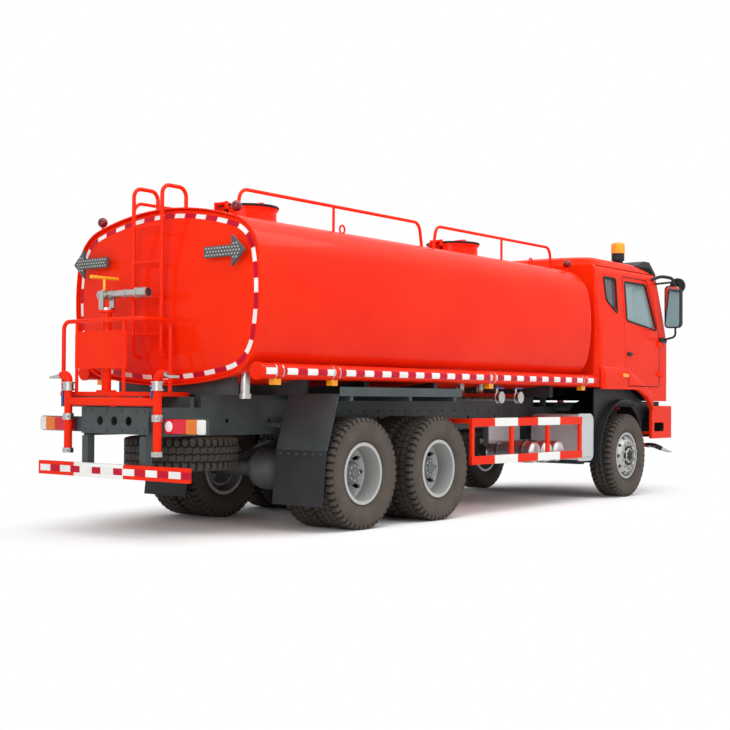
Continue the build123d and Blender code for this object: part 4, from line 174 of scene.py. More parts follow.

# %% [markdown]
# ## Plastic, rubber and glass
# Trim is moulded polypropylene with a fine grain, 1.5 mm on the real part and drawn at 8 mm. Lenses are clear
# acrylic dyed through. Glass lets most light pass, so it is mostly transparent with a gloss on top. Tyres
# carry an attribute that their builder sets, for dust and painted shade: the sidewalls of this truck are brown
# with dry dust, the tread is darker, and the grooves and the gaps between the blocks are painted darker still,
# as shade.

# %% Plastic, rubber and glass
def moulded(name, colour, roughness, grain_mm=8.0, grain=0.15, coat=0.0, gloss=0.25):
    """One moulded colour with a grain that roughens it."""
    material, tree, place = new_material(name)
    grit = add_node(tree, "ShaderNodeTexNoise", Vector=place, Scale=waves_per_metre(grain_mm), Detail=2.0)
    worn = add_node(tree, "ShaderNodeTexNoise", Vector=place, Scale=waves_per_metre(260.0), Detail=4.0)
    darker = tuple(0.8 * c for c in paint(colour)[:3]) + (1.0,)
    uneven = two_tone(tree, worn.outputs["Fac"], darker, paint(colour), 0.3, 0.7)
    bump = add_node(tree, "ShaderNodeBump", Height=grit.outputs["Fac"], Strength=grain, Distance=0.004)
    shader = add_node(tree, "ShaderNodeBsdfPrincipled", Base_Color=uneven, Roughness=roughness,
                      Specular_IOR_Level=gloss, Coat_Weight=coat, Coat_Roughness=0.05,
                      Normal=bump.outputs["Normal"])
    close(tree, shader)
    return material


def acrylic(name, colour, roughness=0.14):
    """A lens that is dyed through: smooth, with a coat."""
    return moulded(name, colour, roughness, grain_mm=20.0, grain=0.05, coat=0.4, gloss=0.15)


def see_through(name, colour, alpha, roughness=0.02):
    """Glass or clear acrylic: mostly transparent, with the gloss of its surface."""
    material, tree, place = new_material(name)
    film = add_node(tree, "ShaderNodeTexNoise", Vector=place, Scale=waves_per_metre(300.0), Detail=2.0)
    rough = add_node(tree, "ShaderNodeMapRange", Value=film.outputs["Fac"], To_Min=roughness,
                     To_Max=roughness + 0.03)
    shader = add_node(tree, "ShaderNodeBsdfPrincipled", Base_Color=paint(colour), Alpha=alpha,
                      Roughness=rough.outputs["Result"])
    close(tree, shader)
    return material


BLACK = moulded("grained_polypropylene_black", "#222325", 0.5)
UNDERSEAL = moulded("bitumen_underseal", "#1B1C1D", 0.8, grain_mm=25.0)
DASH = moulded("grained_polypropylene_grey", "#4A4C50", 0.6)
FLAP = moulded("sheet_rubber_black", "#303234", 0.62, grain_mm=30.0)
SEAL = moulded("extruded_rubber_seal", "#1C1D1E", 0.55, grain=0.05)
AMBER = acrylic("acrylic_lens_amber", "#FFA41A")
LENS_ORANGE = acrylic("acrylic_lens_orange", "#E87A22")
LENS_RED = acrylic("acrylic_lens_red", "#D8142C")
LENS_DARK = acrylic("acrylic_lens_dark_red", "#7A0C1A", 0.12)
LENS_WHITE = acrylic("acrylic_lens_white", "#ECECE8")
BOARD = moulded("arrow_board_housing", "#54585A", 0.55)
LED = moulded("unlit_led_lens", "#A9AAA4", 0.3, grain=0.02, coat=0.3)
TAPE_WHITE = moulded("reflective_film_white", "#F6F6F4", 0.35, grain_mm=12.0, grain=0.1, coat=0.1)
TAPE_RED = moulded("reflective_film_crimson", "#C80A30", 0.35, grain_mm=12.0, grain=0.1, coat=0.1, gloss=0.1)
GLASS = see_through("tempered_glass_green", "#9FBCC0", 0.5)
SHADED = see_through("tempered_glass_grey", "#5F6E73", 0.62)
CLEAR = see_through("clear_acrylic", "#DDE6EA", 0.25)


def dusty_shaded_rubber():
    """Black rubber mixed with brown dust by the attribute times a noise; the grooves and cuts get painted
    shade.
    """
    material, tree, place = new_material("dusty_tyre_rubber_painted_shade")
    dust_and_shade = add_node(tree, "ShaderNodeAttribute", {"attribute_name": "dust_and_shade"}).outputs["Fac"]
    drift = add_node(tree, "ShaderNodeTexNoise", Vector=place, Scale=waves_per_metre(150.0), Detail=5.0)
    uneven = add_node(tree, "ShaderNodeMapRange", Value=drift.outputs["Fac"], From_Min=0.3, From_Max=0.7,
                      To_Min=0.75, To_Max=1.1)
    share = add_node(tree, "ShaderNodeMath", {"operation": "MULTIPLY"}, i0=dust_and_shade, i1=uneven.outputs["Result"])
    colour = two_tone(tree, share.outputs["Value"], paint("#252423"), paint("#5A514A"))
    bump = add_node(tree, "ShaderNodeBump", Height=drift.outputs["Fac"], Strength=0.1, Distance=0.004)
    shader = add_node(tree, "ShaderNodeBsdfPrincipled", Base_Color=colour, Roughness=0.72,
                      Specular_IOR_Level=0.2, Normal=bump.outputs["Normal"])
    close(tree, shader)
    return material


def woven(name, warp, weft, thread_mm=6.0):
    """Plain weave: two colours by a checker of threads, drawn at 6 mm for a real 1 mm thread, with a bump."""
    material, tree, place = new_material(name)
    checks = add_node(tree, "ShaderNodeTexChecker", Vector=place, Scale=waves_per_metre(thread_mm),
                      Color1=paint(warp), Color2=paint(weft))
    bump = add_node(tree, "ShaderNodeBump", Height=checks.outputs["Fac"], Strength=0.2, Distance=0.003)
    shader = add_node(tree, "ShaderNodeBsdfPrincipled", Base_Color=checks.outputs["Color"], Roughness=0.9,
                      Sheen_Weight=0.3, Normal=bump.outputs["Normal"])
    close(tree, shader)
    return material


RUBBER = dusty_shaded_rubber()
CLOTH = woven("woven_seat_cloth", "#44474E", "#363940")
print("materials", len(bpy.data.materials))

# %% [markdown]
# ## Shapes from arrays
# A new piece is a grid of points worked out in one go with numpy, and the grid's cells are its faces. A few
# ways to fill the grid give nearly every piece of a truck: a profile turned about an axis, a circle carried
# along a path, and an outline carried from one height to another. A pole, where a whole row falls on one
# point, is closed by merging.

# %% Shape helpers
def grid_shape(points, wrap_rows=False, wrap_cols=False):
    """Corners and quads of a grid of points: (i, j), (i + 1, j), (i + 1, j + 1), (i, j + 1)."""
    rows, cols = points.shape[:2]
    i, j = np.meshgrid(np.arange(rows - (not wrap_rows)), np.arange(cols - (not wrap_cols)), indexing="ij")
    down, across = (i + 1) % rows, (j + 1) % cols
    faces = np.stack([i * cols + j, down * cols + j, down * cols + across, i * cols + across], -1)
    return points.reshape(-1, 3), faces.reshape(-1, 4)


def unit(vector):
    """The vector divided by its length."""
    vector = np.asarray(vector, float)
    return vector / np.linalg.norm(vector, axis=-1, keepdims=True)


def turned(profile, origin, axis, sides=32):
    """(along, radius) points turned about an axis: origin + along axis + radius (cos t p + sin t q)."""
    axis = unit(axis)
    p = unit(np.cross(axis, (0, 0, 1) if abs(axis[2]) < 0.9 else (1, 0, 0)))
    q = np.cross(axis, p)
    along, radius = np.array(profile, float).T
    t = np.linspace(0, 2 * np.pi, sides, endpoint=False)
    ring = np.cos(t)[:, None] * p + np.sin(t)[:, None] * q
    points = np.asarray(origin, float) + along[:, None, None] * axis + radius[:, None, None] * ring
    return grid_shape(points, wrap_cols=True)


def tube(path, radius, side, sides=14, loop=False):
    """A circle carried along a path, with ends or as a loop: path + radius (cos t n + sin t b)."""
    path = np.asarray(path, float)
    tangent = unit(np.roll(path, -1, 0) - np.roll(path, 1, 0) if loop else np.gradient(path, axis=0))
    n = unit(np.cross(tangent, side))
    b = np.cross(tangent, n)
    t = np.linspace(0, 2 * np.pi, sides, endpoint=False)[:, None]
    radius = np.broadcast_to(np.asarray(radius, float), (len(path),))[:, None, None]
    rings = path[:, None] + radius * (np.cos(t) * n[:, None] + np.sin(t) * b[:, None])
    if loop:
        return grid_shape(rings, wrap_rows=True, wrap_cols=True)
    ends = [np.repeat(path[k][None, None], sides, 1) for k in (0, -1)]
    return grid_shape(np.concatenate([ends[0], rings, ends[1]]), wrap_cols=True)


def bent(corners, bend, steps=7):
    """Straight runs with each inner corner eased: (1 - t)^2 a + 2 t (1 - t) corner + t^2 b."""
    corners = np.asarray(corners, float)
    t = np.linspace(0, 1, steps)[:, None]
    path = [corners[:1]]
    for before, corner, after in zip(corners, corners[1:], corners[2:]):
        a = corner + unit(before - corner) * bend
        b = corner + unit(after - corner) * bend
        path.append((1 - t) ** 2 * a + 2 * t * (1 - t) * corner + t ** 2 * b)
    return np.concatenate(path + [corners[-1:]])


def rounded_rectangle(width, height, radius, steps=5):
    """Outline of a rectangle with quarter circles at its corners."""
    angle = (np.arange(4)[:, None] * np.pi / 2 + np.linspace(0, np.pi / 2, steps)).ravel()
    across = np.repeat((width / 2 - radius) * np.array([1, -1, -1, 1]), steps)
    up = np.repeat((height / 2 - radius) * np.array([1, 1, -1, -1]), steps)
    return np.stack([across + radius * np.cos(angle), up + radius * np.sin(angle)], 1)


def prism(outline, low, high, chamfer, origin, u, v, w):
    """An outline carried from low to high along w, its rims cut back by the chamfer, closed to its middle."""
    outline = np.asarray(outline, float)
    middle = outline.mean(0)
    reach = np.linalg.norm(outline - middle, axis=1, keepdims=True)
    inset = middle + (outline - middle) * (1 - chamfer / reach)
    flat = np.repeat(middle[None], len(outline), 0)
    layers = ((flat, low), (inset, low), (outline, low + chamfer), (outline, high - chamfer), (inset, high),
              (flat, high))
    local = np.stack([np.column_stack([shape, np.full(len(shape), height)]) for shape, height in layers])
    corners, faces = grid_shape(local, wrap_cols=True)
    return np.asarray(origin, float) + corners @ np.array([u, v, w], float), faces


def bar(low, high, chamfer=0.003):
    """A rectangular bar between two corners, its edges eased by the chamfer."""
    low, high = np.minimum(low, high), np.maximum(low, high)
    half = (high - low) / 2
    outline = rounded_rectangle(2 * half[0], 2 * half[1], min(chamfer, 0.45 * half[:2].min()), 2)
    return prism(outline, -half[2], half[2], min(chamfer, 0.45 * half[2]), (low + high) / 2, (1, 0, 0),
                 (0, 1, 0), (0, 0, 1))


def repeated(shape, places):
    """Copies of a shape, each moved by one of the places."""
    corners, faces = shape
    places = np.asarray(places, float)
    moved = (places[:, None] + corners).reshape(-1, 3)
    return moved, (faces + len(corners) * np.arange(len(places))[:, None, None]).reshape(-1, 4)


def mirrored(shape):
    """A shape and its mirror image across the truck's middle plane."""
    corners, faces = shape
    other = corners * (1, -1, 1)
    return [(corners, faces), (other, faces[:, ::-1])]


def merge(mesh, near, outwards):
    """Joins the corners of a mesh that lie nearer than that, and points its faces outwards where asked."""
    shell = bmesh.new()
    shell.from_mesh(mesh)
    bmesh.ops.remove_doubles(shell, verts=shell.verts, dist=near)
    if outwards:
        bmesh.ops.recalc_face_normals(shell, faces=shell.faces)
    shell.to_mesh(mesh)
    shell.free()


def shade(mesh, turn):
    """Smooth shading, with edges sharp where faces turn by more than an angle."""
    mesh.polygons.foreach_set("use_smooth", np.ones(len(mesh.polygons), bool))
    mesh.set_sharp_from_angle(angle=turn)


def into_scene(name, data):
    """A new object with its data, linked to the scene."""
    thing = bpy.data.objects.new(name, data)
    bpy.context.scene.collection.objects.link(thing)
    return thing


def put(name, shapes, material, body, closed=True, sharp=32.0, dust_and_shade=None):
    """Joins shapes into one piece, merges its poles, points its faces outwards and shades it."""
    starts = np.cumsum([0] + [len(corners) for corners, _ in shapes[:-1]])
    corners = np.concatenate([corners for corners, _ in shapes])
    faces = np.concatenate([faces + start for (_, faces), start in zip(shapes, starts)])
    mesh = bpy.data.meshes.new(name)
    mesh.vertices.add(len(corners))
    mesh.vertices.foreach_set("co", corners.astype(np.float32).ravel())
    mesh.loops.add(4 * len(faces))
    mesh.loops.foreach_set("vertex_index", faces.astype(np.int32).ravel())
    mesh.polygons.add(len(faces))
    mesh.polygons.foreach_set("loop_start", 4 * np.arange(len(faces), dtype=np.int32))
    mesh.update(calc_edges=True)
    # the tyres' dust and painted shade, as a point attribute
    if dust_and_shade is not None:
        mesh.attributes.new("dust_and_shade", "FLOAT", "POINT").data.foreach_set("value", dust_and_shade.astype(np.float32))
    if closed:
        merge(mesh, POLE_NEAR, True)
    mesh.validate()
    shade(mesh, math.radians(sharp))
    mesh.materials.append(material)
    piece = into_scene(name, mesh)
    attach(piece, body)
    print(name, len(mesh.polygons), "faces")
    return piece


def on_doors(name, shapes, material, closed=True):
    """Shapes that ride on the left door, and their mirror images on the right one."""
    halves = [mirrored(shape) for shape in shapes]
    for k, side in enumerate(("left", "right")):
        put(f"{name}_{side}", [half[k] for half in halves], material, f"{side}_door", closed)


X_AXIS, Y_AXIS, Z_AXIS = np.eye(3)
POLE_NEAR, FACET_NEAR = 1e-6, 2e-5

# %% [markdown]
# ## Finishes for the CAD nodes
# A node whose shape is right keeps its mesh and only gets its finish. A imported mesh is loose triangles, so a
# curved node would show its facets in a gloss. Such a node is copied, its corners are merged and it is shaded
# smooth where the turn from face to face is small. The copy stands for the node and rides on the same body.
# At a rounded edge the shading normal is a mean by area, so that a narrow strip doesn't bend the light on the
# wide panel beside it. The cab's underside is black with underseal, and the beams under the rear deck are
# grey.

# %% Finishes for the nodes
FINISH = {
    "frame": GREY, "driveline": ENGINE, "front_axle": IRON, "rear_axles": IRON, "knuckle_left": IRON,
    "knuckle_right": IRON, "tank": RED, "tank_rim": RED, "top_rails": RED, "rear_ladder": RED,
    "tank_subframe": GREY, "pipework": RED, "fittings": STEEL, "rear_platform": RED, "hose_tubes": RED,
    "side_lamps": AMBER, "underrun_bar": RED, "rear_lamps": LENS_RED, "spare_tyre": RUBBER,
    "spare_rim": RIM, "mudguards": GREY, "mud_flaps": FLAP, "side_guards": RED, "air_tanks": ALUMINIUM,
    "silencer": SHIELD, "fuel_tank": ALUMINIUM, "battery_box": BLACK, "front_mudguards": BLACK,
    "front_bumper": RED, "headlamps": CLEAR, "arrow_boards": BOARD, "cab_body": RED, "cab_roof": RED,
    "cab_sides": RED, "cab_glass": SHADED, "dashboard": DASH, "seats": CLOTH, "cab_trim": BLACK,
    "beacon": AMBER, "front_flap": RED, "door_left": RED, "door_right": RED, "door_glass_left": GLASS,
    "door_glass_right": GLASS, "manhole_lid_rear": RED, "manhole_lid_front": RED, "monitor_swivel": STEEL,
    "monitor_barrel": STEEL,
}
for axle in ("front", "mid", "rear"):
    for side in ("left", "right"):
        FINISH[f"tyre_{axle}_{side}"] = RUBBER
        FINISH[f"rim_{axle}_{side}"] = RIM
BODY_OF = {node: body for body, members in frame["record"]["behaviour"]["bodies"].items() for node in members}
SMOOTH_TURN = math.radians(28.0)
BEAMS_Z, CAB_FLOOR_Z = 1.266, 1.450
BUMPER_MID = (4.2, 0.0)
DOWNWARD, INWARD = -0.3, -0.05
# a second finish, and which faces take it from their middle and the way that they face
UNDER = {"rear_platform": (GREY, lambda at, facing: at[:, 2] < BEAMS_Z),
         "cab_body": (UNDERSEAL, lambda at, facing: (at[:, 2] < CAB_FLOOR_Z) & (facing[:, 2] < DOWNWARD)),
         "front_bumper": (UNDERSEAL, lambda at,
                          facing: (facing[:, :2] * (at[:, :2] - BUMPER_MID)).sum(1) < INWARD),}


def read(items, field, width, kind):
    """One field of a mesh's items as an array."""
    values = np.empty(len(items) * width, kind)
    items.foreach_get(field, values)
    return values.reshape(-1, width) if width > 1 else values


def fair_normals(mesh):
    """At each face's corner, the mean of the near faces' normals by area: a wide flat face stays flat."""
    normal = read(mesh.polygons, "normal", 3, np.float32)
    area = read(mesh.polygons, "area", 1, np.float32)
    corner = read(mesh.loops, "vertex_index", 1, np.int32)
    face = np.repeat(np.arange(len(area)), read(mesh.polygons, "loop_total", 1, np.int32))
    order = np.argsort(corner, kind="stable")
    count = np.bincount(corner, minlength=len(mesh.vertices))
    start = np.cumsum(count) - count
    fan = count[corner]
    one = np.repeat(np.arange(len(corner)), fan)
    two = order[start[corner[one]] + np.arange(len(one)) - np.repeat(np.cumsum(fan) - fan, fan)]
    near = (normal[face[one]] * normal[face[two]]).sum(1) > math.cos(SMOOTH_TURN)
    share = normal[face[two]] * (area[face[two]] * near)[:, None]
    mean = np.stack([np.bincount(one, share[:, k], len(corner)) for k in range(3)], 1)
    mesh.normals_split_custom_set(unit(mean + 1e-12 * normal[face]).tolist())


def smoothed(node):
    """A copy of a CAD node, merged, with edges sharp only where faces turn by more than SMOOTH_TURN."""
    mesh = nodes[node].data.copy()
    mesh.name = node + "_skin"
    merge(mesh, FACET_NEAR, False)
    shade(mesh, SMOOTH_TURN)
    mesh.materials.clear()
    mesh.materials.append(FINISH[node])
    if node in UNDER:
        finish, chosen = UNDER[node]
        mesh.materials.append(finish)
        middle, facing = (read(mesh.polygons, field, 3, np.float32) for field in ("center", "normal"))
        second = chosen(middle, facing)
        mesh.polygons.foreach_set("material_index", second.astype(np.int32))
    fair_normals(mesh)
    piece = into_scene(node + "_skin", mesh)
    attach(piece, BODY_OF[node])
    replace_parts(piece, node)
    return piece


REBUILT = {node for node in nodes if node.startswith("tyre_")}
REBUILT |= {"spare_tyre", "tank", "tank_rim", "rear_lamps", "beacon", "seats"}
for node in sorted(set(nodes) - REBUILT):
    smoothed(node)
print("skins", len(nodes) - len(REBUILT))

# %% [markdown]
# ## Tyres
# A truck's drive tyre has deep blocks along both shoulders and wavy grooves round the middle. The section is
# drawn once, from one bead over the tread to the other, and carried round in steps that fall on the blocks'
# edges, so that each wall is crisp. A cut lowers the section where a shoulder or a middle rib has a gap, and
# the grooves sway from side to side.

# %% Tyres
TYRE_R = 0.540
TYRE_HALF = 0.156
WIDEST_R = 0.420
TREAD_HALF = 0.128
SHOULDER_R = 0.498
LUGS = 46
SHOULDER_CUT = 0.016
RIB_CUT = 0.007
GROOVE = 0.014
SWAY = 0.006
LUG_TAPER = 0.006
# the cuts and nicks lower the attribute, so the gaps between the blocks are painted darker, as shade
CUT_SHADE, NICK_SHADE = 0.45, 0.2
LUG_STEPS = np.array([0.0, 0.05, 0.35, 0.40, 0.55, 0.60, 0.72, 0.77])
SHOULDER_GAP = np.array([0, 1, 1, 0, 0, 0, 0, 0])
RIB_GAP = np.array([0, 0, 0, 0, 0, 1, 1, 0])
SWAY_STEPS = np.array([0.0, 0.25, 1.0, 1.0, 0.2, 0.0, -0.6, -0.8])


def tyre_form():
    """Section rows (half width, radius) with each row's share of the cuts, carried round the wheel's axis."""
    wall_r = np.linspace(0.304, SHOULDER_R - 0.008, 12)
    fullness = np.where(wall_r < WIDEST_R, 2.9, 1.05)
    wall_w = TYRE_HALF - fullness * (wall_r - WIDEST_R) ** 2
    for high, ring_r in ((0.003, 0.328), (0.002, 0.462)):
        wall_w += high * np.exp(-((wall_r - ring_r) / 0.006) ** 2)
    wall_dust = np.interp(wall_r, (0.30, 0.33, 0.40, 0.49), (0.45, 0.8, 1.0, 0.8))
    wall = np.column_stack([wall_w, wall_r, 0 * wall_r, 0 * wall_r, 0 * wall_r, wall_dust])
    # columns: half width, radius, shoulder cut, rib cut, sway, dust and painted shade (low in the grooves)
    crown = np.array([(0.1475, SHOULDER_R, 0, 0, 0, 0.6), (0.1465, 0.503, 1, 0, 0, 0.75),
                      (0.142, 0.522, 1, 0, 0, 0.7), (0.132, 0.5365, 1, 0, 0, 0.6),
                      (TREAD_HALF - 0.004, TYRE_R, 1, 0, 0, 0.5), (0.084, TYRE_R, 1, 0, 0, 0.45),
                      (0.078, TYRE_R, 0, 0, 1, 0.45), (0.075, TYRE_R - GROOVE, 0, 0, 1, 0.05),
                      (0.065, TYRE_R - GROOVE, 0, 0, 1, 0.05), (0.062, TYRE_R, 0, 1, 1, 0.45),
                      (0.048, TYRE_R, 0, 1, 0.4, 0.45), (0.022, TYRE_R, 0, 1, 0.4, 0.45),
                      (0.009, TYRE_R, 0, 1, 1, 0.45), (0.006, TYRE_R - GROOVE, 0, 0, 1, 0.05)])
    half = np.concatenate([[(0.1105, 0.2844, 0, 0, 0, 0.2), (0.1155, 0.3012, 0, 0, 0, 0.35)], wall, crown])
    other = half[::-1] * (-1, 1, 1, 1, 1, 1)
    width, radius, shoulder, rib, sway, dust_and_shade = np.concatenate([half, other]).T[:, :, None]
    lug = np.tile(np.arange(len(LUG_STEPS)), LUGS)
    angle = 2 * np.pi * (np.repeat(np.arange(LUGS), len(LUG_STEPS)) + LUG_STEPS[lug]) / LUGS
    cut = shoulder * SHOULDER_GAP[lug]
    nick = rib * RIB_GAP[lug]
    depth = radius - SHOULDER_CUT * cut - RIB_CUT * nick
    reach = width - np.sign(width) * LUG_TAPER * cut + sway * SWAY * SWAY_STEPS[lug]
    points = np.stack([depth * np.sin(angle), np.broadcast_to(reach, depth.shape), depth * np.cos(angle)], -1)
    corners, faces = grid_shape(points, wrap_rows=True, wrap_cols=True)
    return corners, faces, np.broadcast_to(dust_and_shade - CUT_SHADE * cut - NICK_SHADE * nick, depth.shape).ravel()


tyre_corners, tyre_faces, tyre_dust_and_shade = tyre_form()
WHEELS = [(axle, side) for axle in ("front", "mid", "rear") for side in ("left", "right")]
wheel_centre = {}
for axle, side in WHEELS:
    low, high = (np.array(corner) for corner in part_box(f"tyre_{axle}_{side}"))
    centre = (low + high) / 2
    wheel_centre[axle, side] = centre
    spread = (high[1] - low[1]) / 2 - TYRE_HALF
    places = [centre] if spread < 0.01 else [centre - (0, spread, 0), centre + (0, spread, 0)]
    piece = put(f"tread_{axle}_{side}", [repeated((tyre_corners, tyre_faces), places)], RUBBER,
                f"{axle}_{side}_wheel", sharp=24.0, dust_and_shade=np.tile(tyre_dust_and_shade, len(places)))
    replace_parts(piece, f"tyre_{axle}_{side}")
low, high = (np.array(corner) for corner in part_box("spare_tyre"))
lying = tyre_corners[:, [0, 2, 1]] * (1, -1, 1) + (low + high) / 2
piece = put("tread_spare", [(lying, tyre_faces)], RUBBER, "chassis", sharp=24.0,
            dust_and_shade=tyre_dust_and_shade)
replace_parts(piece, "spare_tyre")

# %% [markdown]
# ## Tank
# The barrel is rolled from sheet steel: four gently bulged sides that run into each other over rounded
# corners. Its outline is five arcs from the top middle to the bottom middle. A corner's circle touches two
# bulges from inside, so its centre is where both circles, shrunk by the corner's radius, cross. The heads are
# dished by pressing, with a small knuckle where they meet the barrel. Two holes are left open under the
# manholes.

# %% Tank
REAR_EDGE, FRONT_EDGE = -4.020, 2.180
HEAD_DISH, KNUCKLE, HEAD_MID = 0.095, 0.030, 2.200
EAVE, SILL = np.array([1.130, 2.800]), np.array([1.100, 1.530])
TOP_MID, SIDE_MID, LOW_MID = (0.0, 3.015), (1.225, 2.150), (0.0, 1.385)
UPPER_BEND, LOWER_BEND = 0.400, 0.420
OTHER_SIDE = np.array([-1, 1])
ARC_STEPS = (40, 20, 30, 22, 36)
MANHOLES = (-2.880, 0.905)


def circle_through(p, q, r):
    """Centre and radius of the circle through three points: |c - p| = |c - q| = |c - r|."""
    p, q, r = (np.array(point) for point in (p, q, r))
    centre = np.linalg.solve(2 * np.array([q - p, r - p]), [q @ q - p @ p, r @ r - p @ p])
    return centre, np.linalg.norm(centre - p)


def corner_centre(one, two, radius, near):
    """Where two circles, shrunk by a radius, cross nearest to a point."""
    (c1, r1), (c2, r2) = one, two
    gap, far = c2 - c1, np.linalg.norm(c2 - c1)
    along = ((r1 - radius) ** 2 - (r2 - radius) ** 2 + far ** 2) / (2 * far)
    across = math.sqrt((r1 - radius) ** 2 - along ** 2) * np.array([-gap[1], gap[0]]) / far
    foot = c1 + along * gap / far
    return min((foot + across, foot - across), key=lambda c: np.linalg.norm(c - near))


def barrel_outline(inset=0.0):
    """Closed loop of (y, z): centre + (radius - inset)(cos a, sin a) for five arcs, and its mirror image."""
    top = circle_through(EAVE * OTHER_SIDE, TOP_MID, EAVE)
    side = circle_through(EAVE, SIDE_MID, SILL)
    low = circle_through(SILL * OTHER_SIDE, LOW_MID, SILL)
    upper = corner_centre(top, side, UPPER_BEND, (0.8, 2.5))
    lower = corner_centre(side, low, LOWER_BEND, (0.75, 1.85))
    arcs = ((*top, upper - top[0]), (upper, UPPER_BEND, upper - side[0]), (*side, lower - side[0]),
            (lower, LOWER_BEND, lower - low[0]), (*low, np.array([0.0, -1.0])))
    start, half = np.pi / 2, []
    for (centre, radius, towards), steps in zip(arcs, ARC_STEPS):
        end = math.atan2(towards[1], towards[0])
        angle = np.linspace(start, end, steps, endpoint=False)[:, None]
        half.append(centre + (radius - inset) * np.hstack([np.cos(angle), np.sin(angle)]))
        start = end
    half = np.concatenate(half + [[(0.0, low[0][1] - low[1] + inset)]])
    return np.concatenate([half, half[-2:0:-1] * OTHER_SIDE])


def tank_rows():
    """Rows from the rear head's middle, over the knuckle, along the barrel, to the front head's middle."""
    rim = barrel_outline(KNUCKLE)
    middle = np.array([0.0, HEAD_MID])
    rows = [(-HEAD_DISH * (1 - f * f), middle + f * (rim - middle)) for f in np.linspace(0, 1, 14)]
    turn = np.linspace(0, np.pi / 2, 7)[1:]
    rows += [(KNUCKLE * (1 - math.cos(a)), barrel_outline(KNUCKLE * (1 - math.sin(a)))) for a in turn]
    rear = [(REAR_EDGE + x, loop) for x, loop in rows]
    front = [(FRONT_EDGE - x, loop) for x, loop in reversed(rows)]
    barrel = [(x, barrel_outline())
              for x in np.linspace(REAR_EDGE + KNUCKLE, FRONT_EDGE - KNUCKLE, 150)[1:-1]]
    return np.stack([np.column_stack([np.full(len(loop), x), loop]) for x, loop in rear + barrel + front])


def with_holes(shape, radius):
    """The shape without its faces inside the manholes."""
    corners, faces = shape
    centre = corners[faces].mean(1)
    away = [np.hypot(centre[:, 0] - x, centre[:, 1]) for x in MANHOLES]
    hole = (np.min(away, axis=0) < radius) & (centre[:, 2] > HEAD_MID)
    return corners, faces[~hole]


collar_profile = [(2.960, 0.330), (3.002, 0.328), (3.030, 0.303), (3.132, 0.300), (3.134, 0.315),
                  (3.147, 0.316), (3.150, 0.313), (3.150, 0.266), (3.146, 0.262), (2.760, 0.262),
                  (2.755, 0.256), (2.755, 0.0)]
tank_shapes = [with_holes(grid_shape(tank_rows(), wrap_cols=True), 0.288)]
for x in MANHOLES:
    tank_shapes.append(turned(collar_profile, (x, 0, 0), Z_AXIS, 72))
    for high, reach in ((3.190, -0.350), (3.118, -0.280)):
        tank_shapes += mirrored(bar((x - 0.394, 0.062, 2.975), (x + reach, 0.082, high), 0.004))
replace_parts(put("tank_shell", tank_shapes, RED, "chassis"), "tank")

band = [(-4.045, -0.0003), (-4.045, -0.011), (-4.041, -0.014), (-3.979, -0.014), (-3.975, -0.011),
        (-3.975, -0.0003)]
band_rows = [np.column_stack([np.full(len(barrel_outline()), x), barrel_outline(inset)]) for x, inset in band]
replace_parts(put("rim_band", [grid_shape(np.stack(band_rows), True, True)], RED, "chassis"),
            "tank_rim")

# %% [markdown]
# ## Reflective film
# Heavy trucks carry strips of white and crimson film round the tail and along the sides. Film is a tenth of a
# millimetre thick and is drawn as a patch that stands 1 or 2 mm off the paint. A patch on the head follows
# the barrel's outline, set in from it, and a patch on a hose tube follows the tube's circle.

# %% Reflective film
FILM_LIFT = 0.001
HEAD_STRIPS, HEAD_INSETS = 24, (0.042, 0.084)
TUBE_SPREAD = 24.0
TAPE_PITCH, WHITE_LONG, CRIMSON_LONG, TAPE_GAP = 0.288, 0.145, 0.118, 0.012
TUBE_Y, TUBE_Z, TUBE_R = 1.150, 1.503, 0.072
BAR_FACE_X, BAR_FILM_Z = -4.6925, (0.568, 0.628)
tape_line = barrel_outline(0.068)
tape_run = np.hypot(*(np.roll(tape_line, -1, 0) - tape_line).T)
tape_run = np.concatenate([[0.0], np.cumsum(tape_run)])


def along_loop(loop, place):
    """Points on a closed loop at places counted in its corners."""
    place = np.asarray(place) % len(loop)
    first = place.astype(int)
    share = (place - first)[:, None]
    return loop[first % len(loop)] * (1 - share) + loop[(first + 1) % len(loop)] * share


def rim_reach(points):
    """Share of the way from the head's middle to its rim, along each point's own ray."""
    (y, z), (rim_y, rim_z) = (points - (0, HEAD_MID)).T, (barrel_outline(KNUCKLE) - (0, HEAD_MID)).T
    far = np.interp(np.arctan2(z, y), np.arctan2(rim_z, rim_y), np.hypot(rim_y, rim_z), period=2 * np.pi)
    return np.hypot(y, z) / far


def head_film(start, end):
    """A patch on the rear head between two lengths along the outline, set in from the barrel by
    HEAD_INSETS."""
    steps = np.interp(np.linspace(start, end, 12), tape_run, np.arange(len(tape_run)))
    rows = []
    for inset in np.linspace(*HEAD_INSETS, 4):
        loop = along_loop(barrel_outline(inset), steps)
        dish = HEAD_DISH * (1 - rim_reach(loop) ** 2)
        rows.append(np.column_stack([REAR_EDGE - dish - 2 * FILM_LIFT, loop]))
    return grid_shape(np.stack(rows[::-1]))


def tube_film(x0, x1, side):
    """A patch on a hose tube, TUBE_SPREAD degrees either way of straight out."""
    angle = np.radians(np.linspace(-TUBE_SPREAD, TUBE_SPREAD, 9))
    radius = TUBE_R + FILM_LIFT
    y, z = side * (TUBE_Y + radius * np.cos(angle)), TUBE_Z + radius * np.sin(angle)
    rows = [np.column_stack([np.full(len(y), x), y, z]) for x in (x0, x1)]
    return grid_shape(np.stack(rows)[::-side])


def bar_film(y0, y1):
    """An upright patch on the underrun bar that faces the rear."""
    return grid_shape(np.array([[(BAR_FACE_X, y, z) for y in (y0, y1)] for z in BAR_FILM_Z]))


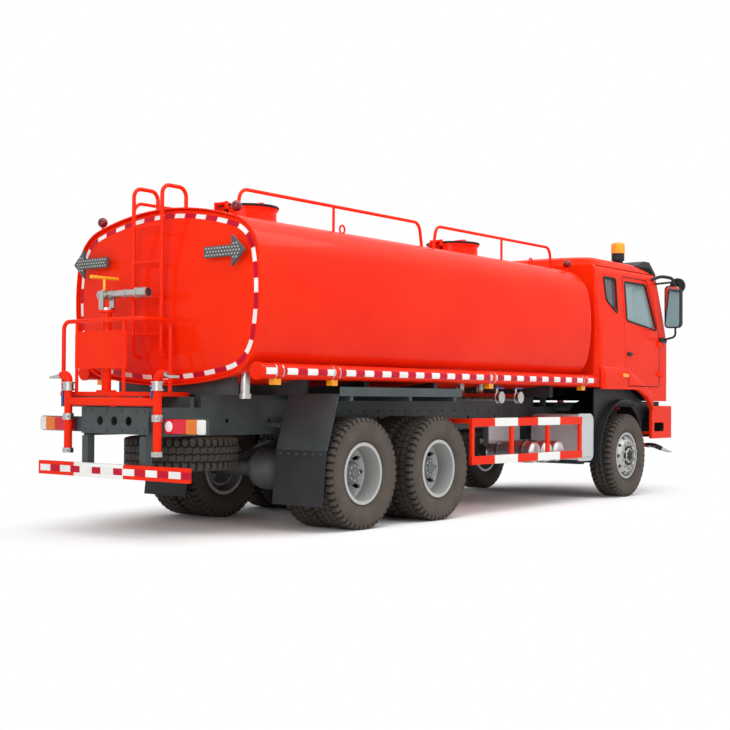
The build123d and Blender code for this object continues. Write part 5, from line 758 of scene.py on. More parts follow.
step = tape_run[-1] / HEAD_STRIPS
white = [head_film(k * step, (k + 0.46) * step) for k in range(HEAD_STRIPS)]
crimson = [head_film((k + 0.49) * step, (k + 0.97) * step) for k in range(HEAD_STRIPS)]
for side in (-1, 1):
    for x in np.arange(-3.950, 2.150, TAPE_PITCH):
        next_x = x + WHITE_LONG + TAPE_GAP
        white.append(tube_film(x, x + WHITE_LONG, side))
        crimson.append(tube_film(next_x, next_x + CRIMSON_LONG, side))
for y in np.arange(0.960, -0.800, -TAPE_PITCH):
    next_y = y - WHITE_LONG - TAPE_GAP
    white.append(bar_film(y - WHITE_LONG, y))
    crimson.append(bar_film(next_y - CRIMSON_LONG, next_y))
put("white_film", white, TAPE_WHITE, "chassis", closed=False)
put("crimson_film", crimson, TAPE_RED, "chassis", closed=False)

# %% [markdown]
# ## White paint on the guards
# The underrun bar and the side guards are red with white fields that were masked and sprayed later. A field
# is a sleeve a millimetre larger than the bar that it covers.

# %% White fields
BAR_X, BAR_Z = -4.665, 0.598
sleeve = rounded_rectangle(0.052, 0.130, 0.013)
fields = [prism(sleeve, -0.187, 0.480, 0.0004, (BAR_X, 0, BAR_Z), X_AXIS, Z_AXIS, Y_AXIS)]
for x0, x1 in ((-0.100, 0.400), (0.860, 1.390)):
    for z in (0.552, 0.965):
        fields += mirrored(bar((x0, 1.174, z - 0.001), (x1, 1.2162, z + 0.0912), 0.002))
put("white_fields", fields, WHITE, "chassis")

# %% [markdown]
# ## Arrow boards
# Each board is a dark arrow full of round lamps. The lamps sit on a staggered grid, and those whose middle
# falls inside the arrow, a little in from its edge, are kept. Each is a low dome.

# %% Arrow lamps
def inside(points, outline):
    """Crossing count: a point is inside where a ray towards +y meets the outline an odd number of times."""
    outline = np.asarray(outline, float)
    after = np.roll(outline, -1, 0)
    y, z = points[:, :1], points[:, 1:]
    spans = (outline[:, 1] > z) != (after[:, 1] > z)
    rise = np.where(after[:, 1] == outline[:, 1], 1e-9, after[:, 1] - outline[:, 1])
    meets = outline[:, 0] + (z - outline[:, 1]) * (after[:, 0] - outline[:, 0]) / rise
    return (spans & (meets > y)).sum(1) % 2 == 1


LAMP_PITCH = 0.035
shrunk_arrow = [(1.113, 0.0), (1.000, 0.106), (1.000, 0.034), (0.664, 0.034), (0.664, -0.034),
                (1.000, -0.034), (1.000, -0.106)]
row, col = np.meshgrid(np.arange(-4, 5), np.arange(0, 14), indexing="ij")
across, up = 0.660 + LAMP_PITCH * (col + 0.5 * (row % 2)), 0.85 * LAMP_PITCH * row
spots = np.column_stack([across.ravel(), up.ravel()])
spots = spots[inside(spots, shrunk_arrow)]
dome = turned([(0.0, 0.0105), (0.004, 0.0095), (0.007, 0.006), (0.008, 0.0)], (0, 0, 0), -X_AXIS, 10)
lamps = repeated(dome, np.column_stack([np.full(len(spots), -4.160), spots[:, 0], 2.560 + spots[:, 1]]))
put("arrow_lamps", mirrored(lamps), LED, "chassis", sharp=60.0)

# %% [markdown]
# ## Tail lamps and markers
# A tail lamp is a row of moulded lenses in one housing: red with a round reflector at the inner end, orange
# for turning, and a pale reflector at the outer end. Small dark red balls mark the tank's upper corners.

# %% Tail lamps
LAMP_X, LAMP_Z, LENS_HIGH, LENS_DEEP = -4.560, 1.010, 0.126, 0.040
MARKER_Y, MARKER_Z, MARKER_R = 0.896, 2.977, 0.05


def lens(y0, y1):
    """A lens between two sides, with eased rims, on the lamp carrier's rear face."""
    outline = rounded_rectangle(y1 - y0, LENS_HIGH, 0.016)
    return prism(outline, 0.0, LENS_DEEP, 0.007, (LAMP_X, (y0 + y1) / 2, LAMP_Z), Y_AXIS, Z_AXIS, -X_AXIS)


reflector_profile = [(0.0, 0.046), (0.004, 0.046), (0.007, 0.040), (0.008, 0.0)]
round_reflector = turned(reflector_profile, (LAMP_X - LENS_DEEP, 0.672, LAMP_Z), -X_AXIS, 32)
red_lenses = mirrored(lens(0.612, 0.872))
arc = np.linspace(0, np.pi, 15)
ball = np.column_stack([-MARKER_R * np.cos(arc), MARKER_R * np.sin(arc)])
balls, stalks = [], []
for x in (-4.000, 2.150):
    balls += mirrored(turned(ball, (x, MARKER_Y, MARKER_Z), Z_AXIS, 24))
    for y in (-MARKER_Y, MARKER_Y):
        stalks.append(tube([(x, y, 2.870), (x, y, 2.940)], 0.012, X_AXIS))
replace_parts(put("red_tail_lenses", red_lenses, LENS_RED, "chassis"), "rear_lamps")
put("amber_tail_lenses", mirrored(lens(0.874, 1.004)), LENS_ORANGE, "chassis")
put("pale_tail_lenses", mirrored(lens(1.006, 1.088)) + mirrored(round_reflector), LENS_WHITE, "chassis")
put("marker_balls", balls, LENS_DARK, "chassis", sharp=60.0)
put("marker_stalks", stalks, RED, "chassis")

# %% [markdown]
# ## Hubs and wheel nuts
# Ten nuts hold a rim to its hub. A nut is a six-sided ring on a washer with a stud through it. A driven hub
# is a plain iron drum with a ring of small bolts, and a front hub has a black cap. One set is made at the
# origin and copied round each wheel.

# %% Hubs and nuts
NUTS, NUT_RING, SMALL_BOLTS = 10, 0.1675, 8
# from the wheel's middle to the nuts' face and the hub's end, the small bolts' ring and the hub's radius
TWIN_HUB, FRONT_HUB = (0.015, 0.190, 0.072, 0.1115), (0.152, 0.172, 0.074, 0.1015)
nut = [turned([(0.0, 0.021), (0.006, 0.021), (0.006, 0.0165)], (0, 0, 0), Y_AXIS, 12),
       turned([(0.0, 0.0185), (0.024, 0.0185), (0.029, 0.014), (0.029, 0.010)], (0, 0, 0), Y_AXIS, 6),
       turned([(0.0, 0.011), (0.044, 0.011), (0.047, 0.008), (0.047, 0.0)], (0, 0, 0), Y_AXIS, 10)]
ring = 2 * np.pi * (np.arange(NUTS) + 0.5) / NUTS
nut_places = np.column_stack([NUT_RING * np.cos(ring), 0 * ring, NUT_RING * np.sin(ring)])
small = turned([(0.0, 0.009), (0.008, 0.009), (0.010, 0.006), (0.010, 0.0)], (0, 0, 0), Y_AXIS, 8)
small_ring = 2 * np.pi * np.arange(SMALL_BOLTS) / SMALL_BOLTS
for axle, side in WHEELS:
    out = 1 if side == "left" else -1
    centre = wheel_centre[axle, side]
    twin = axle != "front"
    face, end, bolt_r, hub_r = TWIN_HUB if twin else FRONT_HUB
    shapes = [repeated(shape, nut_places + (0, face, 0)) for shape in nut]
    bolt_places = np.column_stack([bolt_r * np.cos(small_ring), 0 * small_ring + end,
                                   bolt_r * np.sin(small_ring)])
    shapes.append(repeated(small, bolt_places))
    nuts = [(corners * (1, out, 1) + centre, faces) for corners, faces in shapes]
    put(f"nuts_{axle}_{side}", nuts, STEEL, f"{axle}_{side}_wheel", sharp=25.0)
    cap = [(face, hub_r + 0.03), (face + 0.012, hub_r + 0.028), (face + 0.016, hub_r), (end - 0.020, hub_r),
           (end - 0.004, hub_r - 0.018), (end + 0.002, hub_r - 0.024), (end + 0.002, 0.050),
           (end + 0.010, 0.046), (end + 0.014, 0.036), (end + 0.014, 0.0)]
    cover = turned(cap, (0, 0, 0), Y_AXIS, 40)
    put(f"hub_cover_{axle}_{side}", [(cover[0] * (1, out, 1) + centre, cover[1])], IRON if twin else BLACK,
        f"{axle}_{side}_wheel")

# %% [markdown]
# ## Water fittings
# Quarter-turn valves open with a blue dipped lever that hangs beside the pipe. The water cannon is aimed with
# a yellow tee handle. Couplings have two lugs for a spanner, and stainless bands hold the hose tubes to their
# brackets.

# %% Levers, lugs and bands
UPRIGHT_X, UPRIGHT_Y = -4.665, 0.595
OUTLET_Y, OUTLET_Z = -1.116, 1.285
levers, stems, lugs = [], [], []
for side in (-1, 1):
    y = side * UPRIGHT_Y
    levers.append(bar((UPRIGHT_X - 0.012, y + 0.066, 1.190), (UPRIGHT_X + 0.012, y + 0.080, 1.374), 0.004))
    stems.append(tube([(UPRIGHT_X, y + 0.040, 1.360), (UPRIGHT_X, y + 0.084, 1.360)], 0.012, X_AXIS))
    for z in (0.768, 1.080):
        for turn in (0.6, 0.6 + np.pi):
            place = np.array([UPRIGHT_X + 0.045 * math.cos(turn), y + 0.055 * math.sin(turn), z])
            lugs.append(bar(place - (0.010, 0.014, 0.010), place + (0.010, 0.014, 0.010), 0.003))
outlet_ring = [(0.0, 0.040), (0.0, 0.0665), (0.014, 0.0665), (0.018, 0.060), (0.046, 0.060), (0.050, 0.0665),
               (0.064, 0.0665), (0.064, 0.046), (0.020, 0.044), (0.020, 0.0)]
for x in (0.093, 0.513):
    levers.append(bar((x - 0.020, OUTLET_Y - 0.012, 1.382), (x + 0.150, OUTLET_Y + 0.012, 1.396), 0.004))
    stems.append(tube([(x, OUTLET_Y, 1.320), (x, OUTLET_Y, 1.396)], 0.013, X_AXIS))
    lugs.append(turned(outlet_ring, (x, OUTLET_Y - 0.0065, OUTLET_Z), -Y_AXIS, 36))
band_profile = [(-0.008, 0.0722), (-0.008, 0.0745), (0.008, 0.0745), (0.008, 0.0722)]
bands = []
for x in (-3.755, -2.935, -0.133, 2.039):
    for shift in (-0.045, 0.045):
        bands += mirrored(turned(band_profile, (x + shift, TUBE_Y, TUBE_Z), X_AXIS, 36))
put("valve_levers", levers, BLUE, "chassis")
put("valve_stems", stems, STEEL, "chassis")
put("coupling_lugs", lugs, STEEL, "chassis")
put("tube_bands", bands, STEEL, "chassis")

# %% Tee handle and rings of the water cannon
CANNON_X, CANNON_Z, RING_HALF = -4.400, 2.215, 0.010
TEE_Y, TEE_Z = 0.410, 2.375
tee_profile = [(-0.171, 0.0), (-0.171, 0.012), (-0.167, 0.0155), (0.167, 0.0155), (0.171, 0.012),
               (0.171, 0.0)]
tee = turned(tee_profile, (CANNON_X, TEE_Y, TEE_Z), X_AXIS, 16)
stem = tube([(CANNON_X, TEE_Y, 2.262), (CANNON_X, TEE_Y, TEE_Z)], 0.0135, X_AXIS)
put("tee_handle", [tee, stem], YELLOW, "barrel")
rings = []
for y, radius in ((0.455, 0.046), (0.280, 0.044), (0.100, 0.042), (-0.055, 0.054)):
    ring_profile = [(-RING_HALF, 0.034), (-RING_HALF, radius), (RING_HALF, radius), (RING_HALF, 0.034)]
    rings.append(turned(ring_profile, (CANNON_X, y, CANNON_Z), Y_AXIS, 32))
put("barrel_rings", rings, STEEL, "barrel")

# %% [markdown]
# ## Manhole seals and grips
# A black rubber ring is pressed between lid and collar, and a bent rod lifts the lid.

# %% Lid seals and grips
seal_profile = [(3.1505, 0.300), (3.1505, 0.323), (3.158, 0.327), (3.170, 0.327), (3.176, 0.323),
                (3.176, 0.300)]
for name, x in zip(("rear", "front"), MANHOLES):
    seal = turned(seal_profile, (x, 0, 0), Z_AXIS, 72)
    put(f"lid_seal_{name}", [seal], SEAL, f"{name}_lid")
    hoop = [(x + 0.16, y, z) for y, z in ((-0.09, 3.180), (-0.09, 3.235), (0.09, 3.235), (0.09, 3.180))]
    grip = tube(bent(hoop, 0.030), 0.008, X_AXIS)
    put(f"lid_grip_{name}", [grip], RED, f"{name}_lid")

# %% [markdown]
# ## Bolts
# The frame is bolted: rows of round heads run along both rails and across the tail plate, and a row holds
# each mud flap to its plate. One head is made, and copied to a table of places.

# %% Bolt heads
head = [(0.0, 0.014), (0.006, 0.013), (0.010, 0.008), (0.0115, 0.0)]
rail = [(x, 0.425, z) for x in np.arange(-4.45, 2.30, 0.25) for z in (0.965, 1.125)]
bolts = mirrored(repeated(turned(head, (0, 0, 0), Y_AXIS, 10), rail))
tail = [(-4.632, y, z) for y in (-0.40, -0.30, -0.10, 0.10, 0.30, 0.40) for z in (0.965, 1.135)]
bolts.append(repeated(turned(head, (0, 0, 0), -X_AXIS, 10), tail))
flap = [(-3.0735, y, 0.735) for y in np.linspace(0.64, 1.14, 6)]
bolts += mirrored(repeated(turned(head, (0, 0, 0), -X_AXIS, 10), flap))
put("bolt_heads", bolts, GREY, "chassis", sharp=60.0)

# %% [markdown]
# ## Cab glass seals and trim
# Window rubber is a soft bead pushed round each opening. The cab's side leans in above the belt line, so a
# bead's distance from the middle plane follows its height, and the windscreen's bead leans with the screen. A
# thin black bead round each door's outline is painted shade: it stands for the dark gap between door and cab.

# %% Window seals
BELT_Z, EAVES_Z, SCREEN_TOP_Z = 2.060, 2.990, 2.905
CAB_HALF, LEAN_IN = 1.200, 0.065
NOSE_X, RAKE = 4.600, 0.310


def side_y(z):
    """Half width of the cab's skin: CAB_HALF to the belt line, then in by LEAN_IN to the eaves."""
    return CAB_HALF - LEAN_IN * np.clip((np.asarray(z) - BELT_Z) / (EAVES_Z - BELT_Z), 0, 1)


def screen_x(z):
    """Front of the cab's skin above the belt line: NOSE_X there, and back by RAKE at the screen's top."""
    return NOSE_X - RAKE * (np.asarray(z) - BELT_Z) / (SCREEN_TOP_Z - BELT_Z)


def loop_path(corners, bend):
    """A closed path through corners, each eased."""
    corners = np.asarray(corners, float)
    return bent(np.concatenate([corners[-1:], corners, corners[:1]]), bend)[1:-1]


def side_bead(outline, radius):
    """A bead round an outline of (x, z) on the cab's left side."""
    flat = loop_path(outline, 0.045)
    path = np.column_stack([flat[:, 0], side_y(flat[:, 1]) + 0.001, flat[:, 1]])
    return tube(path, radius, Y_AXIS, 10, loop=True)


BEAD_R = 0.013
DOOR_WINDOW = [(3.245, 2.310), (4.140, 2.215), (3.880, 2.820), (3.245, 2.820)]
QUARTER_WINDOW = [(2.690, 2.545), (2.985, 2.385), (2.985, 2.840), (2.640, 2.840)]
on_doors("door_seal", [side_bead(DOOR_WINDOW, BEAD_R)], SEAL)
seals = mirrored(side_bead(QUARTER_WINDOW, BEAD_R))
screen = loop_path([(-1.000, 2.125), (1.000, 2.125), (1.000, 2.855), (-1.000, 2.855)], 0.05)
seals.append(tube(np.column_stack([screen_x(screen[:, 1]) + 0.001, screen]), 0.015, X_AXIS, 10, loop=True))
# the thin black bead on the door's outline is painted shade of the gap round the door
DOOR_OUTLINE = [(3.178, 1.448), (4.217, 1.448), (4.217, 2.150), (3.927, 2.882), (3.178, 2.882)]
seals += mirrored(side_bead(DOOR_OUTLINE, 0.004))
put("cab_seals", seals, SEAL, "cab")

# %% [markdown]
# ## Handles, turn lamps and mirrors
# A door has a flush plate with a pull, and the cab carries a lamp for turning over the wheel and a mirror on
# a bent arm. Each is drawn on the left side and mirrored, and the two halves go to the bodies that carry
# them, so that a handle swings with its door. The mirror's glass is a metal to the shader, smooth enough to
# show the truck behind it.

# %% Handles, turn lamps and mirrors
HANDLE_Z, SKIN_Y = 1.868, 1.199
MIRROR_Y, MIRROR_Z = 1.365, 2.540


def on_side(width, height, radius, thick, chamfer, place):
    """A plate with rounded corners that lies on the cab's left side and grows outwards."""
    return prism(rounded_rectangle(width, height, radius), 0.0, thick, chamfer, place, X_AXIS, Z_AXIS, Y_AXIS)


handle = on_side(0.130, 0.055, 0.018, 0.010, 0.003, (3.290, SKIN_Y, HANDLE_Z))
pull_path = [(x, y, HANDLE_Z) for x, y in ((3.240, 1.206), (3.240, 1.232), (3.345, 1.232), (3.345, 1.206))]
pull = tube(bent(pull_path, 0.014), 0.009, Z_AXIS)
on_doors("door_handle", [handle, pull], BLACK)
turn_lamp = on_side(0.150, 0.050, 0.020, 0.024, 0.006, (3.090, 1.234, 1.583))
put("side_turn_lamps", mirrored(turn_lamp), AMBER, "cab")
bracket = on_side(0.200, 0.070, 0.025, 0.034, 0.008, (4.300, SKIN_Y, 2.085))
arm_path = [(4.080, 1.130, 2.900), (4.200, 1.230, 2.960), (4.300, MIRROR_Y, 2.930), (4.300, MIRROR_Y, 2.820)]
arm = tube(bent(arm_path, 0.06), 0.022, X_AXIS)
put("cab_grips", mirrored(bracket) + mirrored(arm), BLACK, "cab")
face_outline, back_outline = rounded_rectangle(0.196, 0.546, 0.045), rounded_rectangle(0.222, 0.572, 0.060)
mirror_face = prism(face_outline, 0.0, 0.004, 0.001, (4.2685, MIRROR_Y, MIRROR_Z), Y_AXIS, Z_AXIS, -X_AXIS)
round_profile = [(0.0, 0.097), (0.003, 0.094), (0.008, 0.060), (0.010, 0.0)]
round_face = turned(round_profile, (4.373, 1.400, 2.830), X_AXIS, 40)
put("mirror_glass", mirrored(mirror_face) + mirrored(round_face), MIRROR, "cab")
mirror_back = prism(back_outline, 0.0, 0.030, 0.022, (4.326, MIRROR_Y, MIRROR_Z), Y_AXIS, Z_AXIS, X_AXIS)
put("mirror_backs", mirrored(mirror_back), BLACK, "cab")

# %% [markdown]
# ## Wheel arch panels
# Behind the front wheel's arch the frame carries black plastic panels that keep spray out of the engine bay.
# Their lower edge follows the mudguard and their upper edge stays a little below the cab's floor, so that the
# cab can tilt.

# %% Arch panels
def slab(x, low, high, y0, y1):
    """An upright slab between two curves over x, closed at its ends."""
    edges = ((y0, low), (y1, low), (y1, high), (y0, high))
    rows = np.stack([np.column_stack([x, np.full(len(x), y), z]) for y, z in edges], 1)
    ends = [np.repeat(rows[k].mean(0)[None, None], 4, 1) for k in (0, -1)]
    return grid_shape(np.concatenate([ends[0], rows, ends[1]]), wrap_cols=True)


AXLE_X, AXLE_Z, GUARD_R = 3.230, 0.540, 0.731
PANEL_Y = (1.080, 1.095)
x = np.linspace(2.500, 3.900, 57)
under_cab = np.interp(x, (2.500, 3.480, 3.900), (1.412, 1.412, 1.246))
guard_top = AXLE_Z + np.sqrt(np.clip(GUARD_R ** 2 - (x - AXLE_X) ** 2, 0.0, None))
panels = mirrored(slab(x, np.minimum(guard_top, under_cab - 0.01), under_cab, *PANEL_Y))
x = np.linspace(3.900, 4.440, 3)
panels += mirrored(slab(x, np.full(3, 1.020), np.full(3, 1.244), *PANEL_Y))
put("arch_panels", panels, BLACK, "chassis")

# %% [markdown]
# ## Fender, roof cap and visor
# A pressed fender swells out of the cab's side over the wheel. Its height over the skin falls from the lower
# edge to the crease above by a quarter ellipse. The door carries the part that lies on it, so that it swings
# with the door. The roof has a moulded cap with rounded sides, and the sun visor's black brow stands over its
# front.

# %% Fender, roof cap and visor
FENDER, FENDER_SKIN_Y, FENDER_LIP = 0.044, 1.1995, 0.060
ROUND_FROM = 0.33
FADE_X, FADE_LONG = 2.464, 0.060
CAP_X, CAP_LONG, CAP_HALF = 2.520, 1.690, 1.105
CAP_Z, CAP_HIGH, CAP_CROWN, CAP_SQUARE = 2.985, 0.118, 0.030, 14


def fender_low(x):
    """The wheel arch's edge."""
    return np.interp(x, (2.460, 3.400, 3.560, 3.740, 3.860, 3.940),
                     (1.405, 1.405, 1.390, 1.316, 1.225, 1.143))


def fender_high(x):
    """The crease where the fender leaves the skin."""
    return np.interp(x, (2.460, 3.120, 3.260, 3.780, 3.940), (1.690, 1.690, 1.670, 1.464, 1.400))


def fender(x0, x1, floor, ceiling, lip):
    """A part of the fender: y = skin + FENDER fade sqrt(1 - s^2), with s from 0 low down to 1 at the
    crease."""
    x = np.linspace(x0, x1, 33)[:, None]
    low, high = np.maximum(fender_low(x), floor), np.minimum(fender_high(x), ceiling)
    z = low + (high - low) * np.linspace(0, 1, 17)
    share = (z - fender_low(x)) / (fender_high(x) - fender_low(x))
    s = np.clip((share - ROUND_FROM) / (1 - ROUND_FROM), 0, 1)
    fade = np.sqrt(np.clip((x - FADE_X) / FADE_LONG, 0, 1))
    y = FENDER_SKIN_Y + FENDER * fade * np.sqrt(1 - s ** 2)
    x = np.broadcast_to(x, z.shape)
    sheet = np.stack([x, y, z], -1)
    if lip:
        sheet = np.concatenate([sheet[:, :1] - (0, FENDER_LIP, 0), sheet], 1)
    return grid_shape(sheet)


cab_fender = mirrored(fender(2.465, 3.172, 0.0, np.inf, True))
cab_fender += mirrored(fender(3.172, 3.940, 0.0, 1.442, True))
put("cab_fenders", cab_fender, RED, "cab", closed=False)
on_doors("door_fender", [fender(3.188, 3.790, 1.454, np.inf, False)], RED, closed=False)

u, v = np.meshgrid(np.linspace(0, 1, 49), np.linspace(-1, 1, 65), indexing="ij")
ends = np.interp(u, (0, 0.04, 0.10, 0.72, 0.90, 0.97, 1), (0, 0.75, 1, 1, 0.55, 0.3, 0))
cap_z = CAP_Z + (CAP_HIGH + CAP_CROWN * (1 - v ** 2)) * ends * (1 - np.abs(v) ** CAP_SQUARE) ** 0.5
cap = grid_shape(np.stack([CAP_X + CAP_LONG * u, CAP_HALF * v, cap_z], -1))
put("roof_cap", [cap], RED, "cab", closed=False)
x = np.array([3.820, 4.030, 4.200, 4.400])
brow = slab(x, np.array([3.060, 3.085, 3.085, 2.970]), np.array([3.085, 3.160, 3.160, 3.010]), -1.060, 1.060)
put("visor_brow", [brow], BLACK, "cab")

# %% [markdown]
# ## Front spray nozzles
# The front spray bar ends in two swivels with flat fan nozzles. A fan's section grows wider and flatter
# towards its mouth.

# %% Front nozzles
t = np.linspace(0, 2 * np.pi, 24, endpoint=False)
along = np.array([0.0, 0.0, 0.3, 0.65, 1.0, 1.0])
wide = np.array([0.0, 0.030, 0.034, 0.054, 0.080, 0.0])
flat = np.array([0.0, 0.030, 0.026, 0.016, 0.010, 0.0])
mouth = np.array([0.120, 0.070, -0.055])
flat_way = unit(np.cross(mouth, (0.3, -0.9, 0.0)))
wide_way = unit(np.cross(flat_way, mouth))
wide_ring = wide[:, None, None] * np.cos(t)[:, None] * wide_way
flat_ring = flat[:, None, None] * np.sin(t)[:, None] * flat_way
fan = np.array([4.470, 1.105, 0.602]) + along[:, None, None] * mouth + wide_ring + flat_ring
swivel_path = [(4.400, 0.945, 0.640), (4.400, 1.040, 0.640), (4.480, 1.111, 0.597)]
swivel = tube(bent(swivel_path, 0.04), 0.033, Z_AXIS)
put("front_fans", mirrored(grid_shape(fan, wrap_cols=True)), STEEL, "chassis")
put("front_swivels", mirrored(swivel), BLACK, "chassis")

# %% [markdown]
# ## Front of the cab
# Two wipers rest on the windscreen and follow its slope, a black mesh closes the slots of the flap from
# inside, and each headlamp has a chromed bowl behind its lens. None of it shows in the photograph, so it is
# plain.

# %% Front of the cab
BLADE = ((0.26, 2.18), (0.42, 2.60), (0.50, 2.80))
wipers = []
for y in (-0.78, 0.05):
    foot = np.array([screen_x(2.085) + 0.020, y, 2.085])
    tip = np.array([screen_x(2.600) + 0.022, y + 0.42, 2.600])
    wipers.append(tube(np.linspace(foot, tip, 6), 0.010, X_AXIS, 8))
    blade = np.array([[screen_x(z) + 0.016, y + shift, z] for shift, z in BLADE])
    wipers.append(tube(blade, 0.008, X_AXIS, 8))
put("wipers", wipers, BLACK, "cab")
MESH_PITCH, MESH_HALF_W = 0.022, 0.770
mesh_bars = [bar((4.556, -MESH_HALF_W, z - 0.004), (4.566, MESH_HALF_W, z + 0.004), 0.002)
             for z in np.arange(1.410, 1.820, MESH_PITCH)]
put("grille_mesh", mesh_bars, BLACK, "flap")
bowl_profile = [(0.0, 0.0), (0.003, 0.030), (0.012, 0.062), (0.014, 0.072), (0.011, 0.072)]
bowls = []
for y in (0.780, 0.940):
    bowls += mirrored(turned(bowl_profile, (4.7005, y, 0.970), X_AXIS, 36))
put("headlamp_bowls", bowls, CHROME, "chassis", closed=False)

# %% [markdown]
# ## Beacon
# The beacon's lens is moulded with upright flutes that spread its light: its radius rises and falls round the
# circle.

# %% Beacon
BEACON_X, BEACON_Y, FLUTES, FLUTE_DEEP = 3.780, -0.800, 36, 0.0012
t = np.linspace(0, 2 * np.pi, 4 * FLUTES, endpoint=False)
rows = []
for z, r, flute in ((3.260, 0.0, 0), (3.260, 0.090, 0), (3.268, 0.091, 0), (3.274, 0.091, 1),
                    (3.376, 0.089, 1), (3.384, 0.088, 0), (3.398, 0.081, 0), (3.407, 0.066, 0),
                    (3.410, 0.040, 0), (3.410, 0.0, 0)):
    reach = r + FLUTE_DEEP * flute * np.cos(FLUTES * t)
    rows.append(np.column_stack([BEACON_X + reach * np.cos(t), BEACON_Y + reach * np.sin(t),
                                 np.full(len(t), z)]))
lens_shape = grid_shape(np.stack(rows), wrap_cols=True)
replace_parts(put("beacon_lens", [lens_shape], AMBER, "cab", sharp=50.0), "beacon")

# %% [markdown]
# ## Seats
# A seat is foam under a stretched cloth. A cushion starts as a box with soft edges: a superellipsoid, with
# the sine and cosine raised to a small power. Its thin way is crowned, highest in the middle, and its sides
# pull in a little between the corners, as sewn cloth does. A welt is sewn round each cushion's edge. A cloth
# simulation could swell it too, but little of it shows through the glass.

# %% Seats
PULL, CROWN = 0.03, 0.16


def pulled(p, q):
    """How far a side lies in: 1 - PULL (1 - q^2) for p, and the same the other way for q."""
    return p * (1 - PULL * (1 - q ** 2)), q * (1 - PULL * (1 - p ** 2))


def cushion(centre, half, lean=0.0, power=0.32):
    """Points half * (c^e c'^e, c^e s'^e, s^e), crowned along the thin way and leaned back with height."""
    around = np.linspace(-np.pi, np.pi, 64, endpoint=False)
    u, v = np.meshgrid(np.linspace(-np.pi / 2, np.pi / 2, 25), around, indexing="ij")
    waves = np.stack([np.cos(u), np.cos(v), np.sin(v), np.sin(u)])
    reach, cos_v, sin_v, height = np.sign(waves) * np.abs(waves) ** power
    points = np.stack([reach * cos_v, reach * sin_v, height], -1)
    thin = int(np.argmin(half))
    one, two = (k for k in range(3) if k != thin)
    p, q = points[..., one], points[..., two]
    points[..., thin] *= 1 - CROWN * (1 - (1 - p ** 2) * (1 - q ** 2))
    points[..., one], points[..., two] = pulled(p.copy(), q.copy())
    points *= half
    points[..., 0] -= lean * points[..., 2]
    return grid_shape(points + np.asarray(centre), wrap_cols=True)


def welt(centre, half, height, lean=0.0):
    """A sewn bead round a cushion at a height, pulled in as the cushion is."""
    bend = min(0.10, 0.9 * min(half))
    corners = np.array([(-1, -1), (1, -1), (1, 1), (-1, 1)]) * half
    flat = loop_path(corners, bend)
    flat = np.column_stack(pulled(*(flat / half).T)) * half
    path = np.column_stack([flat, np.full(len(flat), height)])
    path[:, 0] -= lean * height
    return tube(path + np.asarray(centre), 0.005, Z_AXIS, 8, loop=True)


BACK_LEAN = 0.175
CUSHION_HALF, BACK_HALF = (0.280, 0.260, 0.085), (0.066, 0.250, 0.350)
seat_frames, seat_welts = [], []
for side, y in (("left", 0.55), ("right", -0.55)):
    low_place, high_place = (3.180, y, 1.775), (2.908, y, 2.200)
    low_form = cushion(low_place, CUSHION_HALF)
    high_form = cushion(high_place, BACK_HALF, BACK_LEAN)
    bottom = put(f"seat_cushion_{side}", [low_form], CLOTH, "cab", sharp=80.0)
    back = put(f"seat_back_{side}", [high_form], CLOTH, "cab", sharp=80.0)
    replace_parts(bottom, "seats")
    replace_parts(back, "seats")
    seat_frames.append(bar((2.960, y - 0.220, 1.480), (3.420, y + 0.220, 1.690), 0.02))
    seat_welts.append(welt(low_place, (0.274, 0.254), 0.050))
    seat_welts.append(welt(high_place, (0.060, 0.246), 0.18, BACK_LEAN))
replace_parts(put("seat_frames", seat_frames, DASH, "cab"), "seats")
put("seat_welts", seat_welts, SEAL, "cab")

# %% [markdown]
# ## Tanks and silencer
# Steel straps hold the air tanks, and the silencer's end is a pressed plate with a raised field.

# %% Straps and plates
strap_profile = [(-0.020, 0.1252), (-0.020, 0.129), (0.020, 0.129), (0.020, 0.1252)]
straps = [turned(strap_profile, (x, y, 0.640), Y_AXIS, 48) for x in (1.020, 1.310, 1.600)
          for y in (-0.620, -0.960)]
put("air_tank_straps", straps, STEEL, "chassis")
plate_outline = rounded_rectangle(0.330, 0.490, 0.060)
plate = prism(plate_outline, 0.0, 0.012, 0.008, (2.205, -1.129, 0.795), X_AXIS, Z_AXIS, -Y_AXIS)
put("silencer_plate", [plate], SHIELD, "chassis")

# %% [markdown]
# ## Studio
# The photograph has a white ground and a white surround with a soft shadow. The floor is a matte white that
# keeps the shadow near the truck and fades to pure white further out. One wide lamp hangs over the truck, a
# weaker one stands along its right side, a third lights the tail, and the white surround fills the rest.

# %% Floor, lamps and camera
FLOOR_HALF = 60.0
MATTE_X, MATTE_Y = 5.2, 2.0
MATTE_TO, WHITE_FROM = 0.7, 1.25


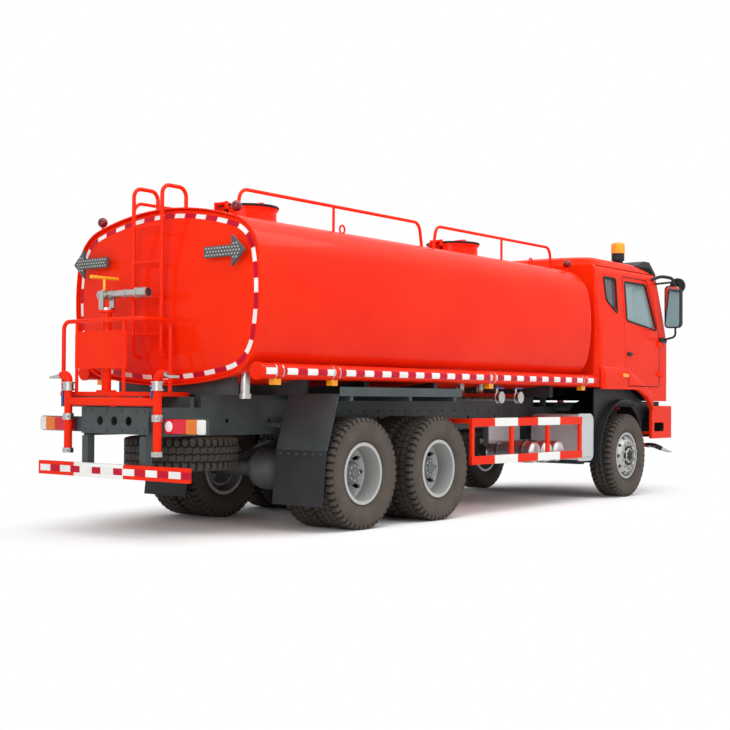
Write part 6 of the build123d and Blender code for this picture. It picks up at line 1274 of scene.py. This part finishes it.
def studio_floor():
    """A square of floor: matte in an ellipse round the truck, and plain white light outside it."""
    half = FLOOR_HALF
    mesh = bpy.data.meshes.new("studio_floor")
    mesh.from_pydata([(-half, -half, 0), (half, -half, 0), (half, half, 0), (-half, half, 0)], [],
                     [(0, 1, 2, 3)])
    material, tree, place = new_material("matte_studio_floor")
    squeeze = add_node(tree, "ShaderNodeMapping", Vector=place, Scale=(1 / MATTE_X, 1 / MATTE_Y, 0.0))
    away = add_node(tree, "ShaderNodeVectorMath", {"operation": "LENGTH"}, i0=squeeze.outputs["Vector"])
    fade = add_node(tree, "ShaderNodeMapRange", {"interpolation_type": "SMOOTHSTEP"},
                    Value=away.outputs["Value"], From_Min=MATTE_TO, From_Max=WHITE_FROM)
    matte = add_node(tree, "ShaderNodeBsdfDiffuse", Color=(0.97, 0.97, 0.97, 1.0))
    white = add_node(tree, "ShaderNodeEmission", Color=(1.0, 1.0, 1.0, 1.0), Strength=1.0)
    mixed = add_node(tree, "ShaderNodeMixShader", Fac=fade.outputs["Result"], i1=matte.outputs[0],
                     i2=white.outputs[0])
    close(tree, mixed)
    mesh.materials.append(material)
    floor = into_scene("studio_floor", mesh)


def white_surround(fill):
    """The world is white to the camera, to reflections and through glass, and dimmer as light."""
    world = bpy.data.worlds.new("white_surround")
    bpy.context.scene.world = world
    world.use_nodes = True
    tree = world.node_tree
    tree.nodes.clear()
    path = add_node(tree, "ShaderNodeLightPath")
    seen = add_node(tree, "ShaderNodeMath", {"operation": "MAXIMUM"}, i0=path.outputs["Is Camera Ray"],
                    i1=path.outputs["Is Transmission Ray"])
    seen = add_node(tree, "ShaderNodeMath", {"operation": "MAXIMUM"}, i0=seen.outputs[0],
                    i1=path.outputs["Is Glossy Ray"])
    strength = add_node(tree, "ShaderNodeMapRange", Value=seen.outputs[0], To_Min=fill, To_Max=1.0)
    light = add_node(tree, "ShaderNodeBackground", Color=(1.0, 1.0, 1.0, 1.0),
                     Strength=strength.outputs["Result"])
    add_node(tree, "ShaderNodeOutputWorld", Surface=light.outputs[0])


def soft_lamp(name, place, target, width, height, watts):
    """A rectangular lamp that looks at a point."""
    lamp = bpy.data.lights.new(name, "AREA")
    lamp.shape = "RECTANGLE"
    lamp.size = width
    lamp.size_y = height
    lamp.energy = watts
    holder = into_scene(name, lamp)
    holder.location = place
    aim = np.array(target) - np.array(place)
    holder.rotation_euler = Vector(aim).to_track_quat("-Z", "Y").to_euler()


IMAGE = 730.0
CAMERA_PLACE = (-12.267, -8.537, 1.271)
CAMERA_YAW = math.radians(40.68)
CAMERA_PITCH = math.radians(0.91)
CAMERA_ROLL = math.radians(0.39)
FOCAL_PIXELS = 1262.4
AXIS_PIXEL = (280.7, 377.1)
SENSOR = 36.0


def photo_camera():
    """The camera that took the photograph: its place, its turn, its lens and the pixel of its axis."""
    lens = bpy.data.cameras.new("photo_camera")
    lens.sensor_width = SENSOR
    lens.lens = FOCAL_PIXELS / IMAGE * SENSOR
    lens.shift_x = (IMAGE / 2 - AXIS_PIXEL[0]) / IMAGE
    lens.shift_y = (AXIS_PIXEL[1] - IMAGE / 2) / IMAGE
    camera = into_scene("photo_camera", lens)
    camera.location = CAMERA_PLACE
    camera.rotation_euler = (math.pi / 2 + CAMERA_PITCH, -CAMERA_ROLL, CAMERA_YAW - math.pi / 2)
    bpy.context.scene.camera = camera


studio_floor()
white_surround(0.38)
soft_lamp("overhead_softbox", (-1.0, -3.0, 9.0), (0.0, 0.0, 1.5), 14.0, 7.0, 900.0)
soft_lamp("side_panel", (-1.0, -11.0, 6.2), (-1.0, 0.0, 2.2), 16.0, 5.5, 180.0)
soft_lamp("rear_fill", (-12.0, -4.0, 4.0), (-3.0, 0.0, 1.8), 5.0, 4.0, 320.0)
photo_camera()
bpy.context.scene.view_settings.view_transform = "Standard"
